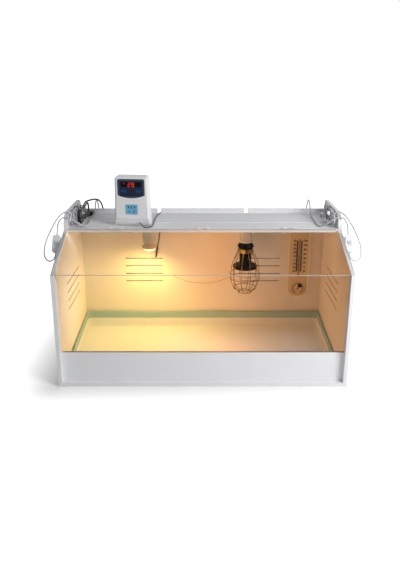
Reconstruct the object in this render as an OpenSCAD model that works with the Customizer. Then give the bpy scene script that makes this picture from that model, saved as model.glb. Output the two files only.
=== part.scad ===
// Chick brooder box: white foam boards, clear pane and lid, two lamps, wall thermometer and a controller.
// Millimetres, +Z up, front toward -Y, origin on the floor at the middle of the footprint.

/* [Cabinet] */
// Width over the side boards
box_w = 800; // [770:1:830]
// Depth over the side boards
box_d = 424; // [418:1:432]
// Height of the upper face of the top boards
box_h = 400; // [392:1:408]
// Thickness of the foam boards
board_t = 10; // [9:0.5:10.5]
// Height of the side boards at the front
front_h = 323; // [316:1:328]
// Depth that the sloping lid covers
lid_run = 200; // [197:1:203]
// Rise of the ears above the top boards
ear_rise = 43; // [41:1:45]
// Radius of the rear corner of the ears
ear_back_r = 14; // [8:1:16]
// Length of a handhold
hand_l = 128; // [110:1:134]
// Height of a handhold
hand_h = 24; // [22:1:25]
// Gap from the top boards up to a handhold
hand_lift = 1; // [0.5:0.5:2]
// Distance from the back to the middle of a handhold
hand_back = 112; // [106:1:118]
// Rise of the back board above the top boards
rim_rise = 13; // [11:1:14]
// Width of a cable notch in the rim
notch_w = 11; // [10.5:0.5:12]
// Depth of a cable notch below the upper face of the top boards
notch_drop = 30; // [27:1:34]
// Distance of a cable notch from the middle
notch_x = 139; // [138.5:0.5:139.5]

/* [Vents] */
// Height of the lowest vent slots
vent_z = 171; // [160:1:180]
// Distance between vent slots
vent_pitch = 26; // [20:1:28]
// Height of a vent slot
vent_h = 3; // [2:0.5:4]
// Length of a vent slot in the back board
back_vent_l = 122; // [100:1:140]
// Distance from the middle to the middle of a back vent
back_vent_x = 192; // [180:1:200]
// Length of a vent slot in a side board
side_vent_l = 174; // [120:1:190]
// Distance from the front to the middle of a side vent
side_vent_y = 238; // [230:1:245]

/* [Front and lid] */
// Thickness of the clear sheets
clear_t = 3; // [2:0.5:4]
// Depth of the front panel behind the side boards
recess = 16; // [12:1:20]
// Height of the upper edge of the kick panel
kick_top = 96; // [80:1:110]
// Height of the upper edge of the front pane
pane_top = 318; // [310:1:320]
// Depth of the grooves that hold the front pane
groove_d = 4; // [3:0.5:5]
// Clearance of the pane in its grooves, each side
groove_gap = 0.2; // [0.1:0.05:0.4]
// Width of the finger notch in the pane
finger_w = 156; // [120:1:180]
// Depth of the finger notch in the pane
finger_d = 21; // [12:1:26]
// Gap between the lid and the top board
lid_gap = 0.6; // [0.4:0.1:1]
// Width of the lid corner cut clear of an ear
lid_cut_w = 12; // [11:0.5:14]
// Length of the lid corner cut clear of an ear
lid_cut_l = 18; // [16:1:24]
// Width of a lid hinge
hinge_w = 40; // [34:1:48]
// Depth of a hinge leaf
leaf_l = 16; // [12:1:20]
// Thickness of a hinge leaf
leaf_t = 1.6; // [1.2:0.1:1.8]
// Diameter of a hinge knuckle
knuckle_d = 5; // [4.6:0.1:5.2]
// Length of the middle knuckle
knuckle_l = 15; // [12:1:17]
// Diameter of a hinge pin
pin_d = 2; // [1.6:0.1:2.2]
// Height of the hinge axis above the top board
hinge_lift = 3.3; // [3.1:0.1:3.6]
// Distance of the hinge axis in front of the top board
hinge_set = 0.8; // [0.6:0.1:1]
// Distance of the outer hinges from the middle
hinge_x = 250; // [220:1:280]
// Running gap between hinge knuckles
hinge_gap = 0.3; // [0.2:0.05:0.4]
// Running gap around a hinge pin
pin_gap = 0.1; // [0.05:0.05:0.2]

/* [Top joint and screws] */
// Distance from the front to the joint between the top boards
joint_run = 282; // [280:1:284]
// Thickness of the web of the joint strip
web_t = 2; // [1.5:0.5:3]
// Width of the flanges of the joint strip
flange_w = 10; // [8:0.5:11]
// Thickness of the flanges of the joint strip
flange_t = 1.5; // [1:0.25:1.75]
// Diameter of a board screw
screw_d = 3; // [2.5:0.5:3.5]
// Length of a board screw
screw_l = 30; // [24:1:36]
// Diameter of a screw head
head_d = 6.5; // [6:0.5:7]
// Depth of a countersunk screw head
head_h = 2.5; // [2:0.5:3]
// Width of the slot in a screw head
slot_w = 1; // [0.8:0.1:1.2]
// Depth of the slot in a screw head
slot_d = 0.8; // [0.5:0.1:1]
// Thickness of the floor liner
liner_t = 2; // [1.5:0.5:3]
// Height of the turned-up liner border at the back
liner_rise = 57; // [50:1:60]
// Height of the turned-up liner border at the front
liner_front_rise = 24; // [20:1:30]
// Gap between the liner and the boards
liner_gap = 0.5; // [0.3:0.1:1]

/* [Lamps] */
// Distance from the back board to the middle of the lamps
lamp_set = 96; // [94:1:98]
// Distance of the light from the middle
light_x = 165; // [160:1:170]
// Distance of the heat lamp from the middle
heat_x = 133; // [130:1:137]
// Diameter of the flange of a lamp holder
holder_flange_d = 56; // [50:1:56]
// Thickness of the flange of a lamp holder
holder_flange_t = 5; // [4:0.5:6]
// Diameter of a lamp holder
holder_d = 39; // [36:0.5:42]
// Length of a lamp holder with its flange
holder_l = 60; // [57:1:63]
// Diameter of the lamp cap in a holder
cap_d = 26; // [25:0.5:27]
// Length of the lamp cap in a holder
cap_l = 25; // [20:1:28]
// Width of the grip grooves on a holder
grip_w = 2; // [1:0.5:3]
// Depth of the grip grooves on a holder
grip_d = 1; // [0.5:0.25:1.5]
// Diameter of the cord outlet of a holder
outlet_d = 8; // [7:0.5:9]
// Distance from the holder axis to the end of its cord outlet
outlet_l = 30; // [28:1:32]
// Diameter of the neck of the reflector bulb
bulb_neck_d = 34; // [30:1:36]
// Largest diameter of the reflector bulb
bulb_d = 47; // [44:1:50]
// Length of the cone of the reflector bulb
bulb_cone_l = 15; // [12:1:18]
// Depth of the dome of the reflector bulb
bulb_dome_h = 13; // [10:1:14]
// Diameter of the collar of the heat emitter
collar_d = 50; // [48:1:52]
// Diameter of the neck of the heat emitter
neck_d = 37; // [34:1:39]
// Diameter of the disc of the heat emitter
disc_d = 76; // [70:1:77]
// Half thickness of the disc at its rim
disc_rim_r = 5; // [4:0.5:6]
// Depth from the holder to the middle of the disc rim
disc_drop = 78; // [75:1:80]

/* [Wire guard] */
// Diameter of the guard seat on the emitter
seat_d = 42; // [40:0.5:43]
// Thickness of the brass band
band_t = 1.6; // [1.2:0.2:2]
// Height of the brass band
band_h = 12; // [10:1:13]
// Depth from the holder to the upper edge of the band
band_drop = 20; // [19:1:21]
// Wire diameter of the guard
wire_d = 2.2; // [2:0.1:2.6]
// Largest radius of the ribs
rib_r = 44; // [43.5:0.5:46]
// Depth from the holder to the widest part of the guard
wide_drop = 100; // [97:1:103]
// Length of the straight part of a rib
rib_run = 16; // [12:1:20]
// Depth from the straight part to the lower end of a rib
rib_low = 45; // [40:1:48]
// Radius of the lower end of the ribs
rib_end_r = 18; // [15:1:21]
// Number of ribs
ribs = 10; // [8:1:12]
// Gap between the ends of the clamp band
clamp_gap = 4; // [3:0.5:5]
// Length of a clamp lug
lug_l = 9; // [8:1:10]
// Thickness of a clamp lug
lug_t = 2; // [1.6:0.2:2.4]
// Diameter of the clamp screw
clamp_d = 3; // [2.5:0.5:3.5]
// Length of the clamp screw
clamp_l = 14; // [12:1:16]

/* [Thermometer] */
// Distance from the right side board to the middle of the thermometer
therm_gap = 75; // [72:1:80]
// Width of the thermometer plate
therm_w = 71; // [66:1:74]
// Height of the thermometer above the middle of the bare back board
therm_lift = 6.5; // [-3:0.5:12]
// Length of the thermometer plate
therm_l = 240; // [236:1:250]
// Thickness of the thermometer plate
therm_t = 4; // [3:0.5:5]
// Corner radius at the top of the plate
therm_r = 30; // [24:1:32]
// Height of the dial above the lower end
dial_z = 32; // [30:1:36]
// Diameter of the dial face
dial_d = 43; // [41:1:45]
// Thickness of the dial face
dial_t = 1; // [0.6:0.2:1.4]
// Width of the rim around the dial
dial_rim_w = 2; // [1.5:0.5:2.5]
// Height of the rim around the dial
dial_rim_h = 4; // [3.5:0.5:5]
// Diameter of the dial spindle
spindle_d = 1.6; // [1.4:0.1:1.8]
// Diameter of the needle hub
hub_d = 6; // [5:0.5:7]
// Thickness of the needle
needle_t = 0.8; // [0.6:0.1:1]
// Width of the needle at its hub
needle_w = 3; // [2:0.5:4]
// Length of the needle
needle_l = 17; // [14:1:18]
// Turn of the needle from straight up
needle_turn = 35; // [0:5:60]
// Diameter of the glass tube
tube_d = 5; // [4:0.5:6]
// Bore of the glass tube
bore_d = 1.8; // [1.4:0.1:2]
// Diameter of the bulb of the glass tube
tube_bulb_d = 9; // [8:0.5:10]
// Height of the bulb above the lower end
tube_z = 74; // [70:1:78]
// Length of the glass tube
tube_l = 126; // [120:1:134]
// Length of the red column
column_l = 70; // [50:1:90]
// Gap between the column and the bore
column_gap = 0.1; // [0.05:0.05:0.2]

/* [Controller] */
// Distance of the controller from the middle
ctrl_x = 204; // [202:1:206]
// Distance from the front to the middle of the controller
ctrl_run = 252; // [251:1:253]
// Turn of the controller in degrees
ctrl_turn = 6; // [5:0.5:6]
// Width of the controller at its foot
ctrl_w = 103; // [101:1:104]
// Width of the controller at its top
ctrl_top_w = 96; // [94:1:98]
// Height of the controller
ctrl_h = 145; // [142:1:148]
// Depth of the controller
ctrl_d = 38; // [37:0.5:38.5]
// Corner radius of the controller outline
ctrl_r = 8; // [6:1:9]
// Corner radius of the controller foot
ctrl_foot_r = 4; // [3:1:5]
// Radius of the upright front edges
ctrl_edge_r = 6; // [4:0.5:7]
// Radius of the upper front edge
ctrl_brow_r = 9; // [6:1:11]
// Height of the lower cover
lip_h = 22; // [20:1:23]
// Step of the lower cover behind the face
lip_step = 2; // [1:0.5:2.5]
// Radius under the lower cover
lip_r = 14; // [12:1:15]
// Wall thickness of the controller
ctrl_wall = 3; // [2.5:0.25:3]
// Depth of the front cover
cover_d = 14; // [13.5:0.5:15]
// Width of the dark window
win_w = 79; // [75:1:81]
// Height of the dark window
win_h = 55; // [52:1:57]
// Bow of the lower edge of the window
win_bow = 8; // [5:1:9]
// Corner radius of the window
win_r = 5; // [4:0.5:6]
// Gap from the window up to the top of the controller
win_drop = 7; // [6:0.5:8]
// Depth of the window recess
win_sink = 2; // [1.6:0.2:2.2]
// Height of the window above the face
win_proud = 0.3; // [0.2:0.1:0.5]
// Width of the display
disp_w = 59; // [54:1:61]
// Height of the display
disp_h = 14; // [12:0.5:15]
// Gap from the display up to the top of the controller
disp_drop = 16; // [15:0.5:18]
// Depth of the display block
disp_t = 6; // [5:0.5:7]
// Height of a digit
digit_h = 11; // [9:0.5:11.5]
// Width of a digit
digit_w = 6.5; // [5.5:0.5:7]
// Stroke of a digit
stroke = 1.2; // [0.9:0.1:1.4]
// Thickness of a digit
digit_t = 0.3; // [0.2:0.1:0.4]
// Distance between digits
digit_pitch = 11; // [9.5:0.5:12]
// Length of a key
key_l = 15; // [12:0.5:17]
// Height of a key
key_h = 8; // [6:0.5:8]
// Distance between keys
key_pitch = 21; // [20:0.5:22]
// Gap from the keys up to the top of the controller
key_drop = 38; // [36:0.5:40]
// Gap around a key
key_gap = 0.25; // [0.2:0.05:0.3]
// Height of a key above the window
key_proud = 0.9; // [0.9:0.1:1.2]
// Flange around the back of a key
key_flange = 1.5; // [1:0.25:1.75]
// Thickness of the key flange
key_flange_t = 1; // [0.8:0.1:1.2]
// Width of the socket plate
socket_w = 35; // [34:1:38]
// Height of the socket plate
socket_h = 29; // [28:1:32]
// Height of the middle of the socket plate
socket_z = 50; // [46:1:52]
// Height of the socket plate above the face
socket_proud = 0.6; // [0.4:0.1:0.8]
// Diameter of a round socket hole
socket_hole_d = 5; // [4:0.5:6]
// Width of a socket slot
socket_slot_w = 2.2; // [1.8:0.1:2.6]
// Length of a socket slot
socket_slot_l = 7.5; // [6:0.5:8]
// Distance of the socket holes from the middle
socket_hole_x = 9; // [8:0.5:10]
// Height of the socket holes off the middle
socket_hole_z = 6.5; // [6:0.5:7]
// Thickness of the circuit board
pcb_t = 1.6; // [1.2:0.2:2]
// Width of the circuit board
pcb_w = 66; // [60:1:70]
// Height of the circuit board
pcb_h = 84; // [76:1:88]
// Distance from the rear wall to the circuit board
pcb_stand = 12; // [11:0.5:13]
// Diameter of a circuit board post
post_d = 6; // [5:0.5:7]
// Inset of a circuit board post
post_in = 6; // [5:0.5:8]
// Diameter of the sensor lead gland
gland_d = 6; // [5:0.5:7]
// Distance of the sensor lead gland from the middle
gland_x = 26; // [25:0.5:27]
// Height of the sensor lead gland
gland_z = 11; // [10.5:0.25:11.5]
// Distance from the middle to the face of the sensor lead gland
gland_y = 21; // [20.75:0.25:21.5]
// Diameter of the mains gland
mains_gland_d = 9; // [8:0.5:10]
// Distance of the mains gland from the middle
mains_gland_x = 20; // [19.5:0.5:20.5]
// Height of the mains gland
mains_gland_z = 12; // [11.5:0.25:12.5]
// Distance from the middle to the face of the mains gland
mains_gland_y = 27; // [26.5:0.5:27.5]

/* [Cords] */
// Diameter of a lamp lead
lead_d = 4; // [3.6:0.1:4.2]
// Diameter of the mains lead
mains_d = 5; // [4.6:0.1:5.2]
// Diameter of the sensor lead
sensor_d = 3; // [2.6:0.1:3.2]
// Diameter of the sensor
sensor_tip_d = 5; // [4.5:0.5:6]
// Length of the sensor
sensor_tip_l = 34; // [30:1:38]
// Length of an inline switch
switch_l = 50; // [50:1:51]
// Width of an inline switch
switch_w = 22; // [20:1:23]
// Thickness of an inline switch
switch_t = 13; // [12:0.5:14]
// Corner radius of an inline switch
switch_r = 5; // [4:0.5:6]
// Width of a switch rocker
rocker_w = 10; // [8:0.5:11]
// Radius of the rocker body
rocker_r = 7.5; // [7:0.25:7.75]
// Depth of the rocker axle below the face of its switch
rocker_sink = 3; // [2.5:0.25:3.25]
// Diameter of the rocker axle
axle_d = 2.4; // [2:0.2:2.6]
// Tilt of a rocker as it stands
rocker_tilt = 8; // [6:1:10]
// Gap around a rocker
rocker_gap = 0.4; // [0.3:0.1:0.5]
// Width of a lamp plug
plug_w = 16; // [14:1:16]
// Thickness of a lamp plug
plug_t = 10; // [9:0.5:10]
// Width of the mains plug
mains_plug_w = 21; // [19:1:21]
// Thickness of the mains plug
mains_plug_t = 14; // [13:0.5:14]
// Length of a plug body
plug_l = 23; // [20:1:24]
// Length of a plug sleeve
sleeve_l = 20; // [18:1:20]
// Length of a plug blade
blade_l = 14; // [12:1:15]
// Width of a plug blade
blade_w = 6; // [5:0.5:6.5]
// Thickness of a plug blade
blade_t = 1.5; // [1.2:0.1:1.8]
// Distance of a blade from the middle of its plug
blade_x = 4; // [3.5:0.5:5]
// Width of a cable tie
tie_w = 5; // [4:0.5:6]
// Thickness of a cable tie
tie_t = 1.4; // [1:0.1:1.6]
// Gap between a cable tie and the cord
tie_gap = 0.2; // [0.1:0.1:0.4]

/* [Hidden] */
$fn = 48;
overrun = 1;
half_w = box_w / 2;
side_x = half_w - board_t;
inner_w = 2 * side_x;
front_y = -box_d / 2;
back_y = box_d / 2;
back_in = back_y - board_t;
top_front = front_y + lid_run;
top_under = box_h - board_t;
ear_top = box_h + ear_rise;
slant_top = box_h - clear_t;
lid_pitch = atan((slant_top - front_h) / lid_run);
lid_end = (lid_run - lid_gap) / cos(lid_pitch);
lid_set = clear_t * tan(lid_pitch);
kick_y = front_y + recess;
pane_y = kick_y + (board_t + clear_t) / 2;
pane_low = kick_top - groove_d;
finger_r = (finger_w * finger_w / 4 + finger_d * finger_d) / (2 * finger_d);
joint_y = front_y + joint_run;
axis_y = top_front - hinge_set;
axis_z = box_h + hinge_lift;
axis_v = (axis_y - front_y) * cos(lid_pitch) + (axis_z - front_h) * sin(lid_pitch);
axis_n = (axis_z - front_h) * cos(lid_pitch) - (axis_y - front_y) * sin(lid_pitch);
hinge_xs = [-hinge_x, 0, hinge_x];
knuckle_clear_d = knuckle_d + 2 * hinge_gap;
lamp_y = back_in - lamp_set;
holder_low = top_under - holder_l;
outlet_share = 0.7;
outlet_z = box_h - outlet_share * notch_drop;
vent_rows = 4;

// Screws through a side board, as shares of depth and height
screw_depth_shares = [0.15, 0.5, 0.85];
screw_height_shares = [0.15, 0.5, 0.85];
screw_rear_share = 0.35;
screw_spots = concat(
    [for (s = screw_depth_shares) [front_y + s * box_d, board_t / 2]],
    [for (s = screw_height_shares) [back_y - board_t / 2, s * box_h]],
    [[(top_front + joint_y) / 2, box_h - board_t / 2]],
    [[joint_y + screw_rear_share * (back_in - joint_y), box_h - board_t / 2]],
    [[kick_y + board_t / 2, (board_t + kick_top) / 2]]);

// Guard profile worked out from its sizes
band_top = holder_low - band_drop;
band_low = band_top - band_h;
band_r = seat_d / 2 + band_t;
weld = wire_d / 24;
rib_top_r = band_r + wire_d / 2 - weld;
rib_wide_z = holder_low - wide_drop;
rib_rise = band_low - rib_wide_z;
rib_swell = rib_r - rib_top_r;
arc_top_r = (rib_swell * rib_swell + rib_rise * rib_rise) / (2 * rib_swell);
arc_top_a = asin(rib_rise / arc_top_r);
rib_draw = rib_r - rib_end_r;
arc_low_r = (rib_draw * rib_draw + rib_low * rib_low) / (2 * rib_draw);
arc_low_a = asin(rib_low / arc_low_r);
hoop_out = wire_d - weld;
hoop_shares = [0.6, 0.96];
rib_tail_share = 0.7;

// Emitter profile: collar as shares of the way to the band, end of the seat, disc as shares of its rim
collar_shares = [0.55, 0.65, 0.9];
seat_end_share = 1.05;
disc_shares = [0.7, 0.4];

// Thermometer
therm_x = side_x - therm_gap;
therm_z = (board_t + liner_rise + top_under - therm_l) / 2 + therm_lift;
therm_face = back_in - therm_t;
dial_y = therm_face - dial_t;
dial_h = therm_z + dial_z;
tube_low = therm_z + tube_z;
tube_y = therm_face - tube_d / 4;

// Controller
ctrl_y = front_y + ctrl_run;
ctrl_front = -ctrl_d / 2;
ctrl_split = ctrl_front + cover_d;
ctrl_lean = (ctrl_w - ctrl_top_w) / (2 * ctrl_h);
ctrl_hyp = sqrt(1 + ctrl_lean * ctrl_lean);
win_low = ctrl_h - win_drop - win_h;
win_bow_r = (win_w * win_w / 4 + win_bow * win_bow) / (2 * win_bow);
disp_mid = ctrl_h - disp_drop - disp_h / 2;
disp_face = ctrl_front - win_proud;
key_mid = ctrl_h - key_drop - key_h / 2;
floor_back = ctrl_front + ctrl_wall;
pcb_y = ctrl_d / 2 - ctrl_wall - pcb_stand;
pcb_mid = (lip_h + ctrl_h) / 2;
dot_share = 1.8;
socket_slant_share = 0.75;
socket_slant = 30;
digit_segments = [["a", "b", "g", "e", "d"], ["a", "b", "c", "d", "e", "f", "g"]];

// Turns a point or a direction on the controller into the frame of the box
function turned(p) = [
    p.x * cos(ctrl_turn) + p.y * sin(ctrl_turn),
    p.y * cos(ctrl_turn) - p.x * sin(ctrl_turn),
    p.z];
function on_ctrl(p) = turned(p) + [-ctrl_x, ctrl_y, box_h];

// Anchors that the cord routes are measured from
ear_at = [side_x, top_front, box_h];
rim_at = [side_x, back_in, box_h];
slot_at = [notch_x, back_in, box_h];

// Lamp lead from the notch, behind the back board, over the rim and along the top boards
lead_slot = [[2.3, -8, -21], [2.3, 4, -21], [2.5, 15, -21], [5, 26, -22], [13, 35, -26], [29, 40, -34],
    [54, 41, -47], [84, 41, -58], [114, 41, -62]];
lead_rim = [[-110, 41, -58], [-86, 40, -46], [-66, 39, -28], [-56, 37, -8], [-53, 34, 10], [-52, 30, 24],
    [-52, 22, 34], [-52, 10, 40], [-52, -4, 40], [-52, -16, 34], [-52, -26, 24], [-52, -35, 13],
    [-52, -46, 5], [-52, -60, 2.6], [-53, -90, 2.4], [-53, -114, 3], [-53, -132, 4.4], [-53, -150, 3]];
lead_ear = [[-53, 42, 2.4], [-48, 24, 3.4], [-38, 13, 9], [-25, 8, 18], [-13, 7, 27], [-3, 7, 31.5],
    [7, 6, 32.5], [15, 3, 30], [21, -4, 22], [23, -12, 14], [23, -20, 4], [23, -26, -4], [23, -32, -12]];
// Lamp lead from its switch around to its tied loops
tail_ear = [[23, -62, -52], [23, -65, -56], [24, -70, -63], [29, -75, -70], [38, -78, -73], [47, -76, -69],
    [53, -70, -60], [55, -62, -48], [54, -52, -34], [50, -41, -19], [44, -30, -4], [37, -19, 11],
    [29, -8, 25], [20, 3, 37], [11, 12, 44], [3, 17, 47], [-5, 19, 46], [-10, 20, 38], [-10, 19.5, 28],
    [-10, 22, 18], [-10, 28, 10], [-10, 36, 6], [-10, 42, 5], [-10, 46, 5]];
// Mains lead from the controller over the rim and back to its loops, measured from the left ear
mains_rim = [[-170, -110, 10], [-166, -94, 6.5], [-160, -78, 3.4], [-153, -60, 3], [-145, -42, 3.6],
    [-138, -26, 8], [-132, -12, 15], [-127, 0, 20.5], [-122, 11, 21], [-116, 22, 16], [-112, 29, 8],
    [-109, 34, -6], [-103, 37, -19], [-93, 38, -27], [-83, 38, -27], [-75, 37, -19], [-70, 35, -6],
    [-67, 30, 9], [-65, 23, 23], [-62, 12, 35], [-57, 0, 43], [-50, -13, 47], [-42, -27, 48.3],
    [-35, -39, 48.2], [-30, -49, 48], [-28.5, -55, 48], [-28.5, -59, 48]];
// Sensor lead across the top boards, through the notch and down the back board
sensor_table = [[-176, -195, 7], [-171, -200, 3.8], [-163, -201.5, 1.8], [-155, -198, 1.7],
    [-150, -189, 1.7], [-147.5, -175, 1.7], [-146.5, -158, 1.7], [-146, -142, 3.6], [-146, -122, 3.4],
    [-146, -102, 1.9],
    [-145, -72, 1.7], [-142, -42, 1.7], [-138.5, -20, 1.8], [-136, -7, 2.1], [-135.6, -1, 2.6],
    [-135.6, 3.2, 0.8], [-135.6, 5, -4], [-135.6, 5.5, -12], [-135.6, 4, -20], [-135.6, 0, -26],
    [-136, -4, -32], [-137, -5, -45], [-139, -5, -68], [-142, -5, -90], [-146, -5, -106], [-147, -5, -112]];

// Lead sizes: half length of a run, outer fold radius, step, turn of reversal, turns and draw at the waist
lamp_hank = [40, 22, 4.7, 2.125, 4.25, 5];
mains_hank_sizes = [54, 19, 5.9, 0.625, 1.75, 5];
lamp_hank_mid = [0, 90, 27];
mains_hank_mid = [0, 96, 29];
lamp_hank_xs = [-10, -14.8];
mains_hank_xs = [-28.5, -34.3];
loop_rings = 24;
loop_sides = 6;
cord_sides = 8;
sleeve_share = 1.3;
rocker_dish = 6;
rocker_top_share = 0.55;
rocker_top = rocker_top_share * rocker_r;

function unit(v) = v / norm(v);
function mirrored(points) = [for (p = points) [-p.x, p.y, p.z]];
function placed(points, at) = [for (p = points) p + at];
function headings(p) = [for (i = [0 : len(p) - 1])
    unit(p[min(i + 1, len(p) - 1)] - p[max(i - 1, 0)])];
function carried(n, t) = unit(n - (n * t) * t);
function side_on(t) = abs(t.z) < 0.9 ? [0, 0, 1] : [0, 1, 0];
function normals(t, i, n) = i >= len(t) ? [] :
    let (m = carried(n, t[i])) concat([m], normals(t, i + 1, m));
function rings_of(p, d, sides) =
    let (t = headings(p), n = normals(t, 0, side_on(t[0])))
    [for (i = [0 : len(p) - 1]) for (k = [0 : sides - 1])
        let (a = 360 * k / sides)
        p[i] + d / 2 * (cos(a) * n[i] + sin(a) * cross(t[i], n[i]))];
function tube_faces(rows, sides) = concat(
    [for (k = [1 : sides - 2]) [0, k, k + 1]],
    [for (k = [1 : sides - 2]) let (e = (rows - 1) * sides) [e, e + k + 1, e + k]],
    [for (i = [0 : rows - 2]) for (k = [0 : sides - 1]) let (m = (k + 1) % sides)
        [i * sides + k, (i + 1) * sides + k, i * sides + m]],
    [for (i = [0 : rows - 2]) for (k = [0 : sides - 1]) let (m = (k + 1) % sides)
        [i * sides + m, (i + 1) * sides + k, (i + 1) * sides + m]]);

module tube(points, d, sides) {
    polyhedron(points = rings_of(points, d, sides), faces = tube_faces(len(points), sides));
}

// One point of a hank: along its run, across it, and its share of the climb between the layers
function hank_fold(t, h) = h[1] - h[2] * (t < h[3] ? t : 2 * h[3] - t);
function hank_draw(f, h) = let (e = 1 - 2 * f, k = 1 - e * e) h[5] * k * k;
function hank_climb(t, h) = let (f = max(0, min(1, 4 * (t - h[3]) + 0.5))) f * f * (3 - 2 * f);
function hank_point(t, h) =
    let (q = t - floor(t), f = 4 * q - floor(4 * q), r = hank_fold(t, h), c = hank_climb(t, h))
    q < 0.25 ? [h[0] * (1 - 2 * f), r - hank_draw(f, h), c] :
    q < 0.5 ? [-h[0] - r * sin(180 * f), r * cos(180 * f), c] :
    q < 0.75 ? [h[0] * (2 * f - 1), hank_draw(f, h) - r, c] :
    [h[0] + r * sin(180 * f), -r * cos(180 * f), c];
function hank_flat(h, d) =
    let (n = round(h[4] * loop_rings), p = [for (i = [0 : n]) hank_point(i / loop_rings, h)])
    concat([p[0] + [d, 0, 0]], p, [p[n] + [sign(p[n].x) * d, 0, 0]]);
function hank_route(h, d, mid, xs, way) = [for (p = hank_flat(h, d))
    [xs[0] + (xs[1] - xs[0]) * p.z, mid.y - way * p.x, mid.z - way * p.y]];
function least_gap(p, d) = min([for (i = [0 : len(p) - 12]) for (j = [i + 9 : len(p) - 1])
    norm(p[i] - p[j])]) - d;

light_hank_route = mirrored(placed(hank_route(lamp_hank, lead_d, lamp_hank_mid, lamp_hank_xs, 1), ear_at));
heat_hank_route = placed(hank_route(lamp_hank, lead_d, lamp_hank_mid, lamp_hank_xs, 1), ear_at);
mains_hank_route = mirrored(
    placed(hank_route(mains_hank_sizes, mains_d, mains_hank_mid, mains_hank_xs, -1), ear_at));
echo(light_hank_gap = least_gap(light_hank_route, lead_d));
echo(mains_hank_gap = least_gap(mains_hank_route, mains_d));

// Lead between its outlet and the notch, as shares of the way across and of the outlet length
across_shares = [0, 0, 0.2, 0.8];
away_shares = [1, 1.3, 1.8, 2.5];
function outlet_points(x) = let (e = notch_x + lead_slot[0].x) [for (i = [0 : len(away_shares) - 1])
    [x + across_shares[i] * (e - x), lamp_y + away_shares[i] * outlet_l, outlet_z]];
function lead_route(x) = concat(outlet_points(x), placed(lead_slot, slot_at), placed(lead_rim, rim_at),
    placed(lead_ear, ear_at));
light_route = mirrored(lead_route(light_x));
heat_route = lead_route(heat_x);
tail_route = placed(tail_ear, ear_at);
sensor_start = [gland_x, -gland_y, gland_z];
sensor_route = concat(
    [on_ctrl(sensor_start), on_ctrl(sensor_start + [0, -2 * sensor_d, -sensor_d / 3])],
    [for (p = sensor_table) [p.x, back_in + p.y, box_h + p.z]]);
mains_start = [-mains_gland_x, mains_gland_y, mains_gland_z];
mains_route = concat(
    [on_ctrl(mains_start), on_ctrl(mains_start + [0, 2 * mains_d, 0])],
    mirrored(placed(mains_rim, rim_at)));
sensor_end = sensor_route[len(sensor_route) - 1];
sensor_way = unit(sensor_end - sensor_route[len(sensor_route) - 2]);
switch_in = ear_at + lead_ear[len(lead_ear) - 1];
switch_out = ear_at + tail_ear[0];
switch_tilt = atan2(switch_in.y - switch_out.y, switch_in.z - switch_out.z);

white = [0.93, 0.93, 0.92];
clear = [0.85, 0.92, 0.95, 0.35];
brass = [0.78, 0.6, 0.3];
steel = [0.7, 0.7, 0.72];
black = [0.08, 0.08, 0.09];
grey = [0.75, 0.75, 0.74];

// Turns a flat outline into a plate: across X, or across Y toward the front
module plate_x(t) {
    rotate([90, 0, 90]) linear_extrude(t) children();
}
module plate_y(t) {
    rotate([90, 0, 0]) linear_extrude(t) children();
}
module stadium(l, h) {
    square([l - h, h], center = true);
    for (s = [-1, 1]) translate([s * (l - h) / 2, 0]) circle(d = h);
}
module round_rect(w, h, r) {
    square([w - 2 * r, h], center = true);
    square([w, h - 2 * r], center = true);
    for (s = [-1, 1]) for (k = [-1, 1]) translate([s * (w / 2 - r), k * (h / 2 - r)]) circle(r);
}

module side_screw(p, cut) {
    translate([half_w, p.x, p.y]) rotate([0, -90, 0]) {
        cylinder(h = head_h, d1 = head_d, d2 = screw_d);
        cylinder(h = screw_l, d = screw_d);
        if (cut) translate([0, 0, -overrun]) cylinder(h = overrun, d = head_d);
    }
}
module side_screws(cut) {
    for (p = screw_spots) side_screw(p, cut);
}
module both_sides() {
    children();
    mirror([1, 0, 0]) children();
}
module board_screws() color(steel) both_sides() difference() {
    side_screws(false);
    for (p = screw_spots)
        translate([half_w - slot_d / 2, p.x, p.y]) cube([slot_d, head_d, slot_w], center = true);
}

module side_outline() difference() {
    polygon([[front_y, 0], [front_y, front_h], [top_front, slant_top], [top_front, ear_top],
        [back_y, ear_top], [back_y, 0]]);
    difference() {
        translate([top_front - overrun, box_h]) square([ear_rise + overrun, ear_rise + overrun]);
        translate([top_front + ear_rise, box_h]) circle(ear_rise);
    }
    difference() {
        translate([back_y - ear_back_r, ear_top - ear_back_r]) square(ear_back_r + overrun);
        translate([back_y - ear_back_r, ear_top - ear_back_r]) circle(ear_back_r);
    }
    translate([back_y - hand_back, box_h + hand_lift + hand_h / 2]) stadium(hand_l, hand_h);
    for (i = [0 : vent_rows - 1])
        translate([front_y + side_vent_y, vent_z + i * vent_pitch]) stadium(side_vent_l, vent_h);
}
module side_panel() difference() {
    translate([side_x, 0, 0]) plate_x(board_t) side_outline();
    translate([side_x - overrun, pane_y - clear_t - groove_gap, pane_low - groove_gap])
        cube([overrun + groove_d + groove_gap, clear_t + 2 * groove_gap, box_h - pane_low]);
    side_screws(true);
}
module left_side_panel() color(white) mirror([1, 0, 0]) side_panel();
module right_side_panel() color(white) side_panel();

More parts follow.
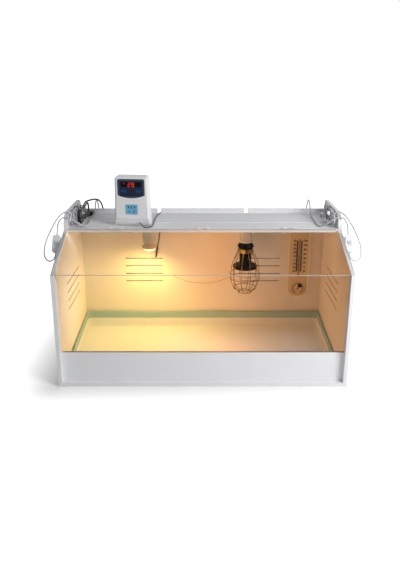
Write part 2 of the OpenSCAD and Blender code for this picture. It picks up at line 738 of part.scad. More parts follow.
module base_panel() color(white) difference() {
    translate([-side_x, front_y, 0]) cube([inner_w, back_in - front_y, board_t]);
    both_sides() side_screws(false);
}
module back_panel() color(white) difference() {
    translate([0, back_y, 0]) plate_y(board_t) difference() {
        translate([-side_x, 0]) square([inner_w, box_h + rim_rise]);
        for (s = [-1, 1]) {
            translate([s * notch_x - notch_w / 2, box_h - notch_drop])
                square([notch_w, notch_drop + rim_rise + overrun]);
            for (i = [0 : vent_rows - 1])
                translate([s * back_vent_x, vent_z + i * vent_pitch]) stadium(back_vent_l, vent_h);
        }
    }
    both_sides() side_screws(false);
}
module top_board(y0, y1) difference() {
    translate([-side_x, y0, top_under]) cube([inner_w, y1 - y0, board_t]);
    both_sides() side_screws(false);
    holder_screw_set(true);
}
module top_front_board() color(white) top_board(top_front, joint_y - web_t / 2);
module top_rear_board() color(white) top_board(joint_y + web_t / 2, back_in);
module top_joint_strip() color(grey) {
    translate([-side_x, joint_y - web_t / 2, top_under - flange_t])
        cube([inner_w, web_t, board_t + 2 * flange_t]);
    for (z = [top_under - flange_t, box_h])
        translate([-side_x, joint_y - flange_w / 2, z]) cube([inner_w, flange_w, flange_t]);
}
module kick_panel() color(white) difference() {
    translate([-side_x, kick_y, board_t]) cube([inner_w, board_t, kick_top - board_t]);
    translate([-side_x - overrun, pane_y - clear_t - groove_gap, pane_low])
        cube([inner_w + 2 * overrun, clear_t + 2 * groove_gap, groove_d + overrun]);
    both_sides() side_screws(false);
}
module front_pane() color(clear) translate([0, pane_y, 0]) plate_y(clear_t) difference() {
    translate([-side_x - groove_d, pane_low]) square([inner_w + 2 * groove_d, pane_top - pane_low]);
    translate([0, pane_top - finger_d + finger_r]) circle(finger_r, $fn = 96);
}
module floor_liner() color([0.9, 0.92, 0.9]) {
    liner_w = inner_w - 2 * liner_gap;
    liner_front = kick_y + board_t + liner_gap;
    liner_l = back_in - liner_gap - liner_front;
    difference() {
        translate([-liner_w / 2, liner_front, board_t]) plate_x(liner_w)
            polygon([[0, 0], [liner_l, 0], [liner_l, liner_rise], [0, liner_front_rise]]);
        translate([-liner_w / 2 + liner_t, liner_front + liner_t, board_t + liner_t])
            cube([liner_w - 2 * liner_t, liner_l - 2 * liner_t, liner_rise]);
    }
}

// Hinges: two outer knuckles stay with the top board, the middle one swings with the lid
module along_axis(x0, l) {
    translate([x0, axis_y, axis_z]) rotate([0, 90, 0]) cylinder(h = l, d = $axis_d);
}
module hinge_fixed_leaves() color(clear) for (x = hinge_xs) translate([x, 0, 0]) difference() {
    union() {
        translate([-hinge_w / 2, axis_y + hinge_gap, box_h]) cube([hinge_w, leaf_l, leaf_t]);
        along_axis(-hinge_w / 2, hinge_w, $axis_d = knuckle_d);
    }
    along_axis(-knuckle_l / 2 - hinge_gap, knuckle_l + 2 * hinge_gap, $axis_d = knuckle_clear_d);
    along_axis(-hinge_w / 2 - overrun, hinge_w + 2 * overrun, $axis_d = pin_d);
}
module hinge_pins() color(clear) for (x = hinge_xs) translate([x, 0, 0])
    along_axis(-hinge_w / 2, hinge_w, $axis_d = pin_d);
module on_lid() {
    translate([0, front_y, front_h]) rotate([lid_pitch, 0, 0]) children();
}
module lid_pane() color(clear) on_lid() difference() {
    translate([-half_w, lid_set, 0]) cube([box_w, lid_end - lid_set, clear_t]);
    for (s = [-1, 1])
        translate([s * half_w - lid_cut_w, lid_end - lid_cut_l, -overrun])
            cube([2 * lid_cut_w, lid_cut_l + overrun, clear_t + 2 * overrun]);
}
module hinge_moving_leaves() color(clear) for (x = hinge_xs) translate([x, 0, 0]) difference() {
    union() {
        on_lid() translate([-hinge_w / 2, axis_v - leaf_l - knuckle_d / 4, clear_t])
            cube([hinge_w, leaf_l, leaf_t]);
        along_axis(-knuckle_l / 2, knuckle_l, $axis_d = knuckle_d);
    }
    for (s = [-1, 1]) {
        reach = hinge_w / 2 - knuckle_l / 2 + overrun;
        along_axis(s > 0 ? knuckle_l / 2 : -knuckle_l / 2 - reach, reach, $axis_d = knuckle_clear_d);
    }
    along_axis(-hinge_w / 2 - overrun, hinge_w + 2 * overrun, $axis_d = pin_d + 2 * pin_gap);
}

// Lamp holders hang under the rear top board
module holder_screw_set(cut) for (x = [-light_x, heat_x]) for (s = [-1, 1])
    translate([x + s * (holder_flange_d + holder_d) / 4, lamp_y, top_under - holder_flange_t])
        cylinder(h = holder_flange_t + board_t / 2, d = screw_d);
module holder_screws() color(steel) {
    holder_screw_set(false);
    for (x = [-light_x, heat_x]) for (s = [-1, 1])
        translate([x + s * (holder_flange_d + holder_d) / 4, lamp_y, top_under - holder_flange_t])
            translate([0, 0, -head_h / 2]) cylinder(h = head_h / 2, d = 2 * screw_d);
}
module holder(x) color(white) difference() {
    translate([x, lamp_y, 0]) difference() {
        union() {
            translate([0, 0, top_under - holder_flange_t])
                cylinder(h = holder_flange_t, d = holder_flange_d);
            translate([0, 0, holder_low]) cylinder(h = holder_l, d = holder_d);
            translate([0, 0, outlet_z]) rotate([-90, 0, 0]) cylinder(h = outlet_l, d = outlet_d);
        }
        translate([0, 0, holder_low - overrun]) cylinder(h = cap_l + overrun, d = cap_d);
        for (i = [1, 2, 3]) translate([0, 0, holder_low + 3 * i * grip_w]) difference() {
            cylinder(h = grip_w, d = holder_d + overrun);
            cylinder(h = grip_w, d = holder_d - 2 * grip_d);
        }
    }
    holder_screw_set(true);
}
module lamp_cap(x) color(brass) translate([x, lamp_y, holder_low]) cylinder(h = cap_l, d = cap_d);
module light_holder() holder(-light_x);
module heat_holder() holder(heat_x);
module lamp_caps() {
    lamp_cap(-light_x);
    lamp_cap(heat_x);
}
module light_bulb() color([1, 0.85, 0.55]) {
    dome_r = (bulb_d * bulb_d / 4 + bulb_dome_h * bulb_dome_h) / (2 * bulb_dome_h);
    rise = bulb_cone_l / 3;
    translate([-light_x, lamp_y, holder_low]) rotate_extrude() intersection() {
        polygon([[0, 0], [bulb_neck_d / 2, 0], [bulb_neck_d / 2, -rise], [bulb_d / 2, -bulb_cone_l],
            [bulb_d / 2, -bulb_cone_l - bulb_dome_h], [0, -bulb_cone_l - bulb_dome_h]]);
        translate([0, dome_r - bulb_cone_l - bulb_dome_h]) circle(dome_r);
    }
}
module heat_emitter() color(black) {
    seat_low = band_drop + band_h;
    rim = disc_rim_r;
    bevel = disc_shares[1] * rim;
    translate([heat_x, lamp_y, holder_low]) rotate_extrude()
        polygon([[0, 0], [neck_d / 2, 0], [collar_d / 2, -collar_shares[0] * band_drop],
            [collar_d / 2, -collar_shares[1] * band_drop], [seat_d / 2, -collar_shares[2] * band_drop],
            [seat_d / 2, -seat_low], [neck_d / 2, -seat_end_share * seat_low],
            [neck_d / 2, disc_shares[0] * rim - disc_drop], [disc_d / 2 - bevel, rim - disc_drop],
            [disc_d / 2, rim - bevel - disc_drop], [disc_d / 2, bevel - rim - disc_drop],
            [disc_d / 2 - bevel, -rim - disc_drop], [0, -rim - disc_drop]]);
}

// Wire guard: ribs of arcs hang from the clamp band, hoops are welded round them
module at_heat() {
    translate([heat_x, lamp_y, 0]) children();
}
module lugs() for (s = [-1, 1])
    translate([s * (clamp_gap + lug_t) / 2 - lug_t / 2, band_r - band_t / 2, band_low])
        cube([lug_t, lug_l, band_h]);
module clamp_bore(d, l) translate([-l / 2, band_r + lug_l / 2, band_low + band_h / 2])
    rotate([0, 90, 0]) cylinder(h = l, d = d);
module guard_band() color(brass) at_heat() difference() {
    union() {
        translate([0, 0, band_low]) cylinder(h = band_h, r = band_r);
        lugs();
    }
    translate([0, 0, band_low - overrun]) cylinder(h = band_h + 2 * overrun, d = seat_d);
    translate([-clamp_gap / 2, 0, band_low - overrun])
        cube([clamp_gap, band_r + lug_l + overrun, band_h + 2 * overrun]);
    clamp_bore(clamp_d, clamp_l);
}
module guard_clamp_screw() color(steel) at_heat() {
    clamp_bore(clamp_d, clamp_l);
    for (s = [-1, 1]) translate([s * (clamp_gap / 2 + lug_t + head_h / 2), 0, 0])
        clamp_bore(2 * clamp_d, head_h);
}
module arc_wire(r, a) rotate([90, 0, 0]) rotate_extrude(angle = a) translate([r, 0]) circle(d = wire_d);
module rib() {
    translate([rib_r - arc_top_r, 0, rib_wide_z]) arc_wire(arc_top_r, arc_top_a);
    translate([rib_r, 0, rib_wide_z - rib_run]) cylinder(h = rib_run, d = wire_d);
    translate([rib_r - arc_low_r, 0, rib_wide_z - rib_run]) rotate([0, arc_low_a, 0])
        arc_wire(arc_low_r, arc_low_a);
    for (z = [rib_wide_z, rib_wide_z - rib_run]) translate([rib_r, 0, z]) sphere(d = wire_d + 2 * weld);
    translate([rib_top_r, 0, band_low]) sphere(d = wire_d + 2 * weld);
    translate([rib_top_r, 0, band_low]) cylinder(h = rib_tail_share * band_h, d = wire_d);
}
module guard_ribs() color(brass) at_heat() for (i = [0 : ribs - 1])
    rotate([0, 0, 360 * (i + 0.5) / ribs - 90]) rib();
module hoop(r, z) translate([0, 0, z]) rotate_extrude() translate([r, 0]) circle(d = wire_d);
module guard_hoops() color(brass) at_heat() {
    low_r = arc_low_r + hoop_out;
    low_z = rib_wide_z - rib_run;
    hoop(rib_r + hoop_out, rib_wide_z);
    hoop(rib_r + hoop_out, low_z);
    for (s = hoop_shares)
        hoop(rib_r - arc_low_r + low_r * cos(s * arc_low_a), low_z - low_r * sin(s * arc_low_a));
}

// Wall thermometer with a dial below its tube
module thermometer_tube_solid() {
    translate([therm_x, tube_y, tube_low]) cylinder(h = tube_l, d = tube_d);
    translate([therm_x, tube_y, tube_low]) sphere(d = tube_bulb_d);
}
module thermometer_plate() color([0.95, 0.9, 0.78]) difference() {
    translate([therm_x, back_in, therm_z]) plate_y(therm_t) difference() {
        union() {
            translate([-therm_w / 2, therm_w / 2]) square([therm_w, therm_l - therm_w / 2 - therm_r]);
            translate([therm_r - therm_w / 2, therm_l - 2 * therm_r])
                square([therm_w - 2 * therm_r, 2 * therm_r]);
            for (s = [-1, 1]) translate([s * (therm_w / 2 - therm_r), therm_l - therm_r]) circle(therm_r);
            translate([0, therm_w / 2]) circle(therm_w / 2);
        }
        translate([0, therm_l - therm_r / 3]) circle(d = screw_d + overrun);
    }
    thermometer_tube_solid();
}
module thermometer_tube() color(clear) difference() {
    thermometer_tube_solid();
    translate([therm_x, tube_y, tube_low]) cylinder(h = column_l, d = bore_d);
}
module thermometer_column() color([0.8, 0.05, 0.05]) translate([therm_x, tube_y, tube_low])
    cylinder(h = column_l - column_gap, d = bore_d - 2 * column_gap);
module dial_disc(d, h, y) translate([therm_x, y, dial_h]) rotate([90, 0, 0]) cylinder(h = h, d = d);
module hygrometer_face() color(white) {
    dial_disc(dial_d, dial_t, therm_face);
    dial_disc(spindle_d, dial_rim_h - needle_t / 2, therm_face);
}
module hygrometer_rim() color(brass) difference() {
    dial_disc(dial_d + 2 * dial_rim_w, dial_rim_h, therm_face);
    dial_disc(dial_d, dial_rim_h + 2 * overrun, therm_face + overrun);
}
module hygrometer_needle() color([0.8, 0.1, 0.1]) difference() {
    translate([therm_x, dial_y - needle_t, dial_h]) rotate([0, needle_turn, 0]) plate_y(needle_t) {
        circle(d = hub_d);
        polygon([[-needle_w / 2, -needle_l / 3], [needle_w / 2, -needle_l / 3], [needle_w / 6, needle_l],
            [-needle_w / 6, needle_l]]);
    }
    dial_disc(spindle_d + 2 * pin_gap, dial_rim_h + overrun, therm_face);
}

// Controller housing: three outlines crossed give its tapered face, rounded brow and undercut foot
module at_ctrl() {
    translate([-ctrl_x, ctrl_y, box_h]) rotate([0, 0, -ctrl_turn]) children();
}
function ctrl_edge(z, r) = ctrl_w / 2 - ctrl_lean * z - r * ctrl_hyp;
module ctrl_face_outline() {
    r = ctrl_r;
    f = ctrl_foot_r;
    nx = 1 / ctrl_hyp;
    nz = ctrl_lean / ctrl_hyp;
    xt = ctrl_edge(ctrl_h - r, r);
    xf = ctrl_edge(f, f);
    zt = ctrl_h - r;
    far = ctrl_w / 2 + overrun;
    difference() {
        polygon([[ctrl_w / 2, 0], [ctrl_top_w / 2, ctrl_h], [-ctrl_top_w / 2, ctrl_h], [-ctrl_w / 2, 0]]);
        for (s = [-1, 1]) {
            difference() {
                polygon([[s * xt, zt], [s * xt, ctrl_h + overrun], [s * far, ctrl_h + overrun],
                    [s * (xt + (r + overrun) * nx), zt + (r + overrun) * nz]]);
                translate([s * xt, zt]) circle(r);
            }
            difference() {
                polygon([[s * xf, f], [s * xf, -overrun], [s * far, -overrun],
                    [s * (xf + (f + overrun) * nx), f + (f + overrun) * nz]]);
                translate([s * xf, f]) circle(f);
            }
        }
    }
}
module ctrl_side_outline() {
    lip_y = ctrl_front + lip_step;
    difference() {
        polygon([[lip_y, lip_h], [ctrl_front, lip_h], [ctrl_front, ctrl_h], [ctrl_d / 2, ctrl_h],
            [ctrl_d / 2, 0], [lip_y, 0]]);
        difference() {
            translate([ctrl_front - overrun, ctrl_h - ctrl_brow_r]) square(ctrl_brow_r + overrun);
            translate([ctrl_front + ctrl_brow_r, ctrl_h - ctrl_brow_r]) circle(ctrl_brow_r);
        }
        difference() {
            translate([lip_y - overrun, -overrun]) square(lip_r + overrun);
            translate([lip_y + lip_r, lip_r]) circle(lip_r);
        }
    }
}
module ctrl_flank() rotate([0, -atan(ctrl_lean), 0]) translate([0, 0, -ctrl_edge_r])
    linear_extrude(ctrl_h + 2 * ctrl_edge_r) difference() {
        w = ctrl_w / 2;
        e = ctrl_edge_r;
        translate([-ctrl_w, ctrl_front]) square([ctrl_w + w, ctrl_d]);
        difference() {
            translate([w - e, ctrl_front - overrun]) square(e + overrun);
            translate([w - e, ctrl_front + e]) circle(e);
        }
    }
module ctrl_solid() intersection() {
    translate([0, ctrl_d / 2, 0]) plate_y(ctrl_d) ctrl_face_outline();
    translate([-ctrl_w / 2, 0, 0]) plate_x(ctrl_w) ctrl_side_outline();
    ctrl_flank();
    mirror([1, 0, 0]) ctrl_flank();
}
module ctrl_cavity() {
    w = ctrl_top_w - 4 * ctrl_wall;
    translate([-w / 2, floor_back, lip_h + ctrl_wall])
        cube([w, ctrl_d - 2 * ctrl_wall, ctrl_h - lip_h - ctrl_wall - ctrl_brow_r]);
}
module ctrl_block(y0, y1, z0, z1) translate([-ctrl_w, y0, z0]) cube([2 * ctrl_w, y1 - y0, z1 - z0]);
module pcb_posts(d, y0, y1) for (s = [-1, 1]) for (k = [-1, 1])
    translate([s * (pcb_w / 2 - post_in), y1, pcb_mid + k * (pcb_h / 2 - post_in)])
        rotate([90, 0, 0]) cylinder(h = y1 - y0, d = d);
module mains_gland(d) translate([-mains_gland_x, mains_gland_y, mains_gland_z]) rotate([90, 0, 0])
    cylinder(h = mains_gland_y - ctrl_d / 4, d = d);
module controller_shell() color(white) at_ctrl() {
    difference() {
        intersection() {
            ctrl_solid();
            ctrl_block(ctrl_split, ctrl_d, -overrun, ctrl_h + overrun);
        }
        ctrl_cavity();
    }
    pcb_posts(post_d, pcb_y + pcb_t, ctrl_d / 2 - ctrl_wall);
    mains_gland(mains_gland_d);
}
module controller_board() color([0.1, 0.4, 0.2]) at_ctrl()
    translate([-pcb_w / 2, pcb_y, pcb_mid - pcb_h / 2]) cube([pcb_w, pcb_t, pcb_h]);
module window_outline() intersection() {
    translate([0, win_low + win_h / 2]) round_rect(win_w, win_h, win_r);
    translate([0, win_low + win_bow_r]) circle(win_bow_r, $fn = 96);
}
module display_outline() translate([0, disp_mid]) square([disp_w, disp_h], center = true);
module key_outline(grow) translate([0, key_mid]) stadium(key_l + 2 * grow, key_h + 2 * grow);
module key_outlines(grow) for (i = [-1, 0, 1]) translate([i * key_pitch, 0]) key_outline(grow);
module socket_outline() translate([0, socket_z]) square([socket_w, socket_h], center = true);
module from_face(back, depth) translate([0, ctrl_front + back, 0]) plate_y(depth) children();
module controller_cover() color(white) at_ctrl() difference() {
    intersection() {
        ctrl_solid();
        ctrl_block(ctrl_front - overrun, ctrl_split, lip_h, ctrl_h + overrun);
    }
    ctrl_cavity();
    from_face(win_sink, win_sink + overrun) window_outline();
    from_face(ctrl_wall + overrun, ctrl_wall + 2 * overrun) display_outline();
    from_face(ctrl_wall + overrun, ctrl_wall + 2 * overrun) key_outlines(key_gap);
    from_face(ctrl_wall + overrun, ctrl_wall + 2 * overrun) socket_outline();
}
module controller_foot() color(white) at_ctrl() union() {
    intersection() {
        ctrl_solid();
        ctrl_block(ctrl_front - overrun, ctrl_split, -overrun, lip_h);
    }
    translate([gland_x, ctrl_split - ctrl_wall, gland_z]) rotate([90, 0, 0])
        cylinder(h = gland_y + ctrl_split - ctrl_wall, d = gland_d);
}
module controller_window() color([0.05, 0.07, 0.12]) at_ctrl()
    from_face(win_sink, win_sink + win_proud) difference() {
        window_outline();
        display_outline();
        key_outlines(key_gap);
    }
module controller_display() color(black) at_ctrl() from_face(disp_t - win_proud, disp_t) display_outline();
module segment(s) {
    u = digit_h / 4;
    w = digit_w / 2;
    bar = digit_w - stroke;
    pole = digit_h / 2 - stroke;
    if (s == "a") translate([0, digit_h / 2]) square([bar, stroke], center = true);
    if (s == "g") square([bar, stroke], center = true);
    if (s == "d") translate([0, -digit_h / 2]) square([bar, stroke], center = true);
    if (s == "b") translate([w, u]) square([stroke, pole], center = true);
    if (s == "c") translate([w, -u]) square([stroke, pole], center = true);
    if (s == "e") translate([-w, -u]) square([stroke, pole], center = true);
    if (s == "f") translate([-w, u]) square([stroke, pole], center = true);
}
module controller_digits() color([0.95, 0.1, 0.08]) at_ctrl()
    from_face(-win_proud, digit_t) translate([0, disp_mid]) {
        for (i = [0, 1]) translate([(i - 0.5) * digit_pitch, 0]) for (s = digit_segments[i]) segment(s);
        translate([-dot_share * digit_pitch, digit_h / 4]) circle(stroke);
    }
module key(i) color([0.12, 0.16, 0.25]) at_ctrl() {
    from_face(ctrl_wall + key_flange_t, ctrl_wall + key_flange_t + key_proud)
        translate([i * key_pitch, 0]) key_outline(0);
    from_face(ctrl_wall + key_flange_t, key_flange_t) translate([i * key_pitch, 0]) key_outline(key_flange);
}
module controller_key_left() key(-1);
module controller_key_middle() key(0);
module controller_key_right() key(1);
module controller_socket() color([0.3, 0.62, 0.8]) at_ctrl()
    from_face(ctrl_wall, ctrl_wall + socket_proud) difference() {
        socket_outline();
        translate([0, socket_z]) {
            for (s = [-1, 1]) {
                translate([s * socket_hole_x, socket_hole_z]) circle(d = socket_hole_d);
                translate([s * socket_slant_share * socket_hole_x, -socket_hole_z]) rotate(-s * socket_slant)
                    square([socket_slot_w, socket_slot_l], center = true);
            }
            translate([0, socket_hole_z]) square([socket_slot_w, socket_slot_l], center = true);
        }
    }

// Cords, their switches, plugs and ties
module sensor_lead() color(black) tube(sensor_route, sensor_d, cord_sides);
module sensor_tip() color(black) translate(sensor_end)
    rotate([0, acos(sensor_way.z), atan2(sensor_way.y, sensor_way.x)])
        cylinder(h = sensor_tip_l, d = sensor_tip_d);
module mains_lead() color(black) tube(mains_route, mains_d, cord_sides);
module mains_hank() color(black) tube(mains_hank_route, mains_d, loop_sides);
module light_lead() color(grey) tube(light_route, lead_d, cord_sides);
module heat_lead() color(grey) tube(heat_route, lead_d, cord_sides);
module light_tail() color(grey) tube(mirrored(tail_route), lead_d, cord_sides);
module heat_tail() color(grey) tube(tail_route, lead_d, cord_sides);
module light_hank() color(grey) tube(light_hank_route, lead_d, loop_sides);
module heat_hank() color(grey) tube(heat_hank_route, lead_d, loop_sides);
module on_switch() {
    translate((switch_in + switch_out) / 2) rotate([-switch_tilt, 0, 0]) children();
}
module at_rocker() {
    on_switch() translate([0, rocker_sink - switch_t / 2, 0]) children();
}
module across(l, d) rotate([0, 90, 0]) cylinder(h = l, d = d, center = true);
module switch_body() difference() {
    on_switch() intersection() {
        translate([0, switch_t / 2, 0]) plate_y(switch_t) round_rect(switch_w, switch_l, switch_r);
        linear_extrude(switch_l, center = true) round_rect(switch_w, switch_t, switch_r / 2);
    }
    at_rocker() across(rocker_w + 2 * rocker_gap, 2 * (rocker_r + rocker_gap));
    at_rocker() across(switch_w - switch_r + 2 * rocker_gap, axle_d + 2 * pin_gap);
}
module rocker() at_rocker() {
    difference() {
        across(rocker_w, 2 * rocker_r);
        for (s = [-1, 1]) rotate([s * rocker_dish + rocker_tilt, 0, 0])
            translate([-rocker_w, -2 * rocker_r - rocker_top, -rocker_r - s * rocker_r])
                cube([2 * rocker_w, 2 * rocker_r, 2 * rocker_r]);
    }
    across(switch_w - switch_r, axle_d);
}
module heat_switch() color(white) switch_body();
module light_switch() color(white) mirror([1, 0, 0]) switch_body();
module heat_rocker() color(grey) rocker();
module light_rocker() color(grey) mirror([1, 0, 0]) rocker();
module plug(at, w, t, d) translate(at) rotate([-90, 0, 0]) {
    cylinder(h = sleeve_l, d1 = sleeve_share * d, d2 = t - d / 2);
    translate([0, 0, sleeve_l]) linear_extrude(plug_l) stadium(w, t);
    for (s = [-1, 1]) translate([s * blade_x - blade_t / 2, -blade_w / 2, sleeve_l + plug_l])
        cube([blade_t, blade_w, blade_l]);
}
module mains_plug() color(black)
    plug(mains_hank_route[len(mains_hank_route) - 1], mains_plug_w, mains_plug_t, mains_d);
module light_plug() color(grey)
    plug(light_hank_route[len(light_hank_route) - 1], plug_w, plug_t, lead_d);
module heat_plug() color(grey)
    plug(heat_hank_route[len(heat_hank_route) - 1], plug_w, plug_t, lead_d);
module tie(h, mid, xs, d) translate(ear_at + mid + [(xs[0] + xs[1]) / 2, 0, 0]) {
    w = abs(xs[0] - xs[1]) + d + 2 * tie_gap;
    l = 2 * (max(h[1], hank_fold(h[4], h)) - h[5]) + d + 2 * tie_gap;
    difference() {
        cube([w + 2 * tie_t, tie_w, l + 2 * tie_t], center = true);
        cube([w, tie_w + 2 * overrun, l], center = true);
    }
}
module cord_ties() color(grey) {
    both_sides() tie(lamp_hank, lamp_hank_mid, lamp_hank_xs, lead_d);
    mirror([1, 0, 0]) tie(mains_hank_sizes, mains_hank_mid, mains_hank_xs, mains_d);
}

base_panel();
back_panel();
left_side_panel();
right_side_panel();
top_front_board();
top_rear_board();
top_joint_strip();
kick_panel();
front_pane();
board_screws();
floor_liner();
hinge_fixed_leaves();
hinge_pins();
lid_pane();
hinge_moving_leaves();
light_holder();
light_bulb();
heat_holder();
heat_emitter();
lamp_caps();
holder_screws();
guard_band();
guard_ribs();
guard_hoops();
guard_clamp_screw();
thermometer_plate();
thermometer_tube();
thermometer_column();
hygrometer_face();
hygrometer_rim();
hygrometer_needle();
controller_shell();
controller_cover();
controller_foot();
controller_window();
controller_display();
controller_digits();
controller_key_left();
controller_key_middle();
controller_key_right();
controller_socket();
controller_board();
sensor_lead();
sensor_tip();
mains_lead();
mains_hank();
mains_plug();
light_lead();
light_switch();
light_rocker();
light_tail();
light_hank();
light_plug();
heat_lead();
heat_switch();
heat_rocker();
heat_tail();
heat_hank();
heat_plug();
cord_ties();
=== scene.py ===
import math

import bmesh
import bpy
from mathutils import Matrix, Vector


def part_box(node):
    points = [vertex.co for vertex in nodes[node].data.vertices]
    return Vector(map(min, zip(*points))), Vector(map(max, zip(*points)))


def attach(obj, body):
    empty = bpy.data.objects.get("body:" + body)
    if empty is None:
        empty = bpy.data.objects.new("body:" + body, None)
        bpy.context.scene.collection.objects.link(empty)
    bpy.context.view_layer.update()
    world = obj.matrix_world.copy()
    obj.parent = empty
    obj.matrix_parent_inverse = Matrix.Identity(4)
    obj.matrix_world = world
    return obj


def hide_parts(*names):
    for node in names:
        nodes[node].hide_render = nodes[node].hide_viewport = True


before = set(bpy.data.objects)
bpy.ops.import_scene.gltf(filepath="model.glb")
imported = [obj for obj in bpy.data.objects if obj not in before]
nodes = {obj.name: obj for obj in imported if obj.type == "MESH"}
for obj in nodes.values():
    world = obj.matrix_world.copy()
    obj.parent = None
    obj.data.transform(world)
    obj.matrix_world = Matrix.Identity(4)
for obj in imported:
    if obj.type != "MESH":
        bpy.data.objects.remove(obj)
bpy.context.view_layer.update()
scene = bpy.context.scene
scene.view_settings.view_transform = "Standard"

# Camera. It stands about one and a half metres in front of the box, some 30 cm above the controller,
# and looks down at the lid; the small shift is the photograph's own off-centre crop.
camera_data = bpy.data.cameras.new("camera")
camera_data.sensor_width = 36
camera_data.lens = 39.71
camera_data.shift_x = -0.0047
camera = bpy.data.objects.new("camera", camera_data)
camera.location = (0, -1.7752, 0.8355)
camera.rotation_euler = (math.radians(90 - 18.96), 0, 0)
scene.collection.objects.link(camera)
scene.camera = camera


# Cabinet boards. White foamed plastic boards, sawn and routed, with a satin skin, a faint even grain and
# slightly soft edges, screwed together at the corners. The cut walls of the vent slots are painted dark
# as painted shade. The strip in the joint between the two top boards is the same white, smoother.
def blank(name):
    material = bpy.data.materials.new(name)
    material.use_nodes = True
    tree = material.node_tree
    return material, tree, tree.nodes["Principled BSDF"]


def shade(tree, kind, inputs, **settings):
    node = tree.nodes.new("ShaderNode" + kind)
    for setting, value in settings.items():
        setattr(node, setting, value)
    for socket, value in inputs.items():
        if isinstance(value, bpy.types.NodeSocket):
            tree.links.new(value, node.inputs[socket])
        else:
            node.inputs[socket].default_value = value
    return node


def spot(tree):
    return shade(tree, "TexCoord", {}).outputs["Object"]


def axes(tree, point):
    return shade(tree, "SeparateXYZ", {"Vector": point}).outputs


def noise(tree, point, scale, detail):
    return shade(tree, "TexNoise", {"Vector": point, "Scale": scale, "Detail": detail}).outputs["Fac"]


def reckon(tree, operation, *values):
    return shade(tree, "Math", dict(enumerate(values)), operation=operation).outputs["Value"]


def fade(tree, value, low, high, start=0, end=1):
    limits = {"Value": value, "From Min": low, "From Max": high, "To Min": start, "To Max": end}
    return shade(tree, "MapRange", limits).outputs["Result"]


def mottled(tree, share, low, high, dark, pale):
    ramp = shade(tree, "ValToRGB", {"Fac": share})
    for element, position, colour in zip(ramp.color_ramp.elements, (low, high), (dark, pale)):
        element.position = position
        element.color = (*colour, 1)
    return ramp.outputs["Color"]


def mixed(tree, share, first, second):
    return shade(tree, "Mix", {0: share, 6: first, 7: second}, data_type="RGBA").outputs[2]


def moulded(name, colour, rough, grain, edge, spread=0.01, depth=0.0001, shine=0.5):
    material, tree, shader = blank(name)
    point = spot(tree)
    cloud = noise(tree, point, 14, 5)
    dark = [max(0, c - spread) for c in colour]
    pale = [min(1, c + spread) for c in colour]
    tree.links.new(mottled(tree, cloud, 0.35, 0.65, dark, pale), shader.inputs["Base Color"])
    gloss = fade(tree, cloud, 0, 1, max(0.02, rough - 0.06), min(1, rough + 0.06))
    tree.links.new(gloss, shader.inputs["Roughness"])
    soft = shade(tree, "Bevel", {"Radius": edge}, samples=4).outputs["Normal"]
    fine = noise(tree, point, 1 / grain, 2)
    skin = {"Strength": 0.25, "Distance": depth, "Height": fine, "Normal": soft}
    tree.links.new(shade(tree, "Bump", skin).outputs["Normal"], shader.inputs["Normal"])
    shader.inputs["Specular IOR Level"].default_value = shine
    return material


def painted(material, share, colour):
    tree = material.node_tree
    base = tree.nodes["Principled BSDF"].inputs["Base Color"]
    tree.links.new(mixed(tree, share, base.links[0].from_socket, (*colour, 1)), base)


def coat(material, *names):
    for name in names:
        data = nodes[name].data
        data.materials.clear()
        data.materials.append(material)


vent_z, vent_reach_z = 0.212, 0.05
side_vent_y, side_vent_reach_y = 0.026, 0.095
back_vent_reach_x = 0.3
side_wall, back_wall, wall_reach = 0.395, 0.207, 0.0045
board = moulded(
    "board", (0.83, 0.83, 0.84), rough=0.5, grain=0.0011, edge=0.0012, spread=0.008, depth=0.00012
)
tree = board.node_tree
x, y, z = axes(tree, spot(tree))
across = reckon(tree, "ABSOLUTE", x)
side_vents = reckon(
    tree,
    "MULTIPLY",
    reckon(tree, "COMPARE", y, side_vent_y, side_vent_reach_y),
    reckon(tree, "COMPARE", across, side_wall, wall_reach),
)
back_vents = reckon(
    tree,
    "MULTIPLY",
    reckon(tree, "LESS_THAN", across, back_vent_reach_x),
    reckon(tree, "COMPARE", y, back_wall, wall_reach),
)
vent_wall_shade = reckon(
    tree,
    "MULTIPLY",
    reckon(tree, "MAXIMUM", side_vents, back_vents),
    reckon(tree, "COMPARE", z, vent_z, vent_reach_z),
)
# Painted shade: the cut walls of the vent slots are painted dark brown.
painted(board, vent_wall_shade, (0.09, 0.06, 0.04))
coat(
    board,
    "base_panel",
    "back_panel",
    "left_side_panel",
    "right_side_panel",
    "top_front_board",
    "top_rear_board",
    "kick_panel",
)
strip = moulded(
    "strip", (0.78, 0.78, 0.79), rough=0.4, grain=0.0008, edge=0.0004, spread=0.006, depth=0.00006
)
coat(strip, "top_joint_strip")


# Screws. Zinc-plated steel, with fine drawn streaks and a little tarnish. They hold the boards together,
# the lamp holders to the top boards, and the guard's band closed.
def metal(name, colour, tarnish, rough, streak):
    material, tree, shader = blank(name)
    shader.inputs["Metallic"].default_value = 1
    point = spot(tree)
    drawn = shade(tree, "Mapping", {"Vector": point, "Scale": (streak, streak, streak / 12)})
    streaks = noise(tree, drawn.outputs["Vector"], 1, 3)
    stain = noise(tree, point, 60, 6)
    tree.links.new(mottled(tree, stain, 0.35, 0.6, tarnish, colour), shader.inputs["Base Color"])
    gloss = fade(tree, streaks, 0, 1, rough - 0.08, rough + 0.1)
    tree.links.new(gloss, shader.inputs["Roughness"])
    soft = shade(tree, "Bevel", {"Radius": 0.0003}, samples=4)
    tree.links.new(soft.outputs["Normal"], shader.inputs["Normal"])
    return material


screw_steel = metal("screw_steel", (0.6, 0.6, 0.61), tarnish=(0.42, 0.42, 0.43), rough=0.3, streak=900)
coat(screw_steel, "board_screws", "holder_screws", "guard_clamp_screw")

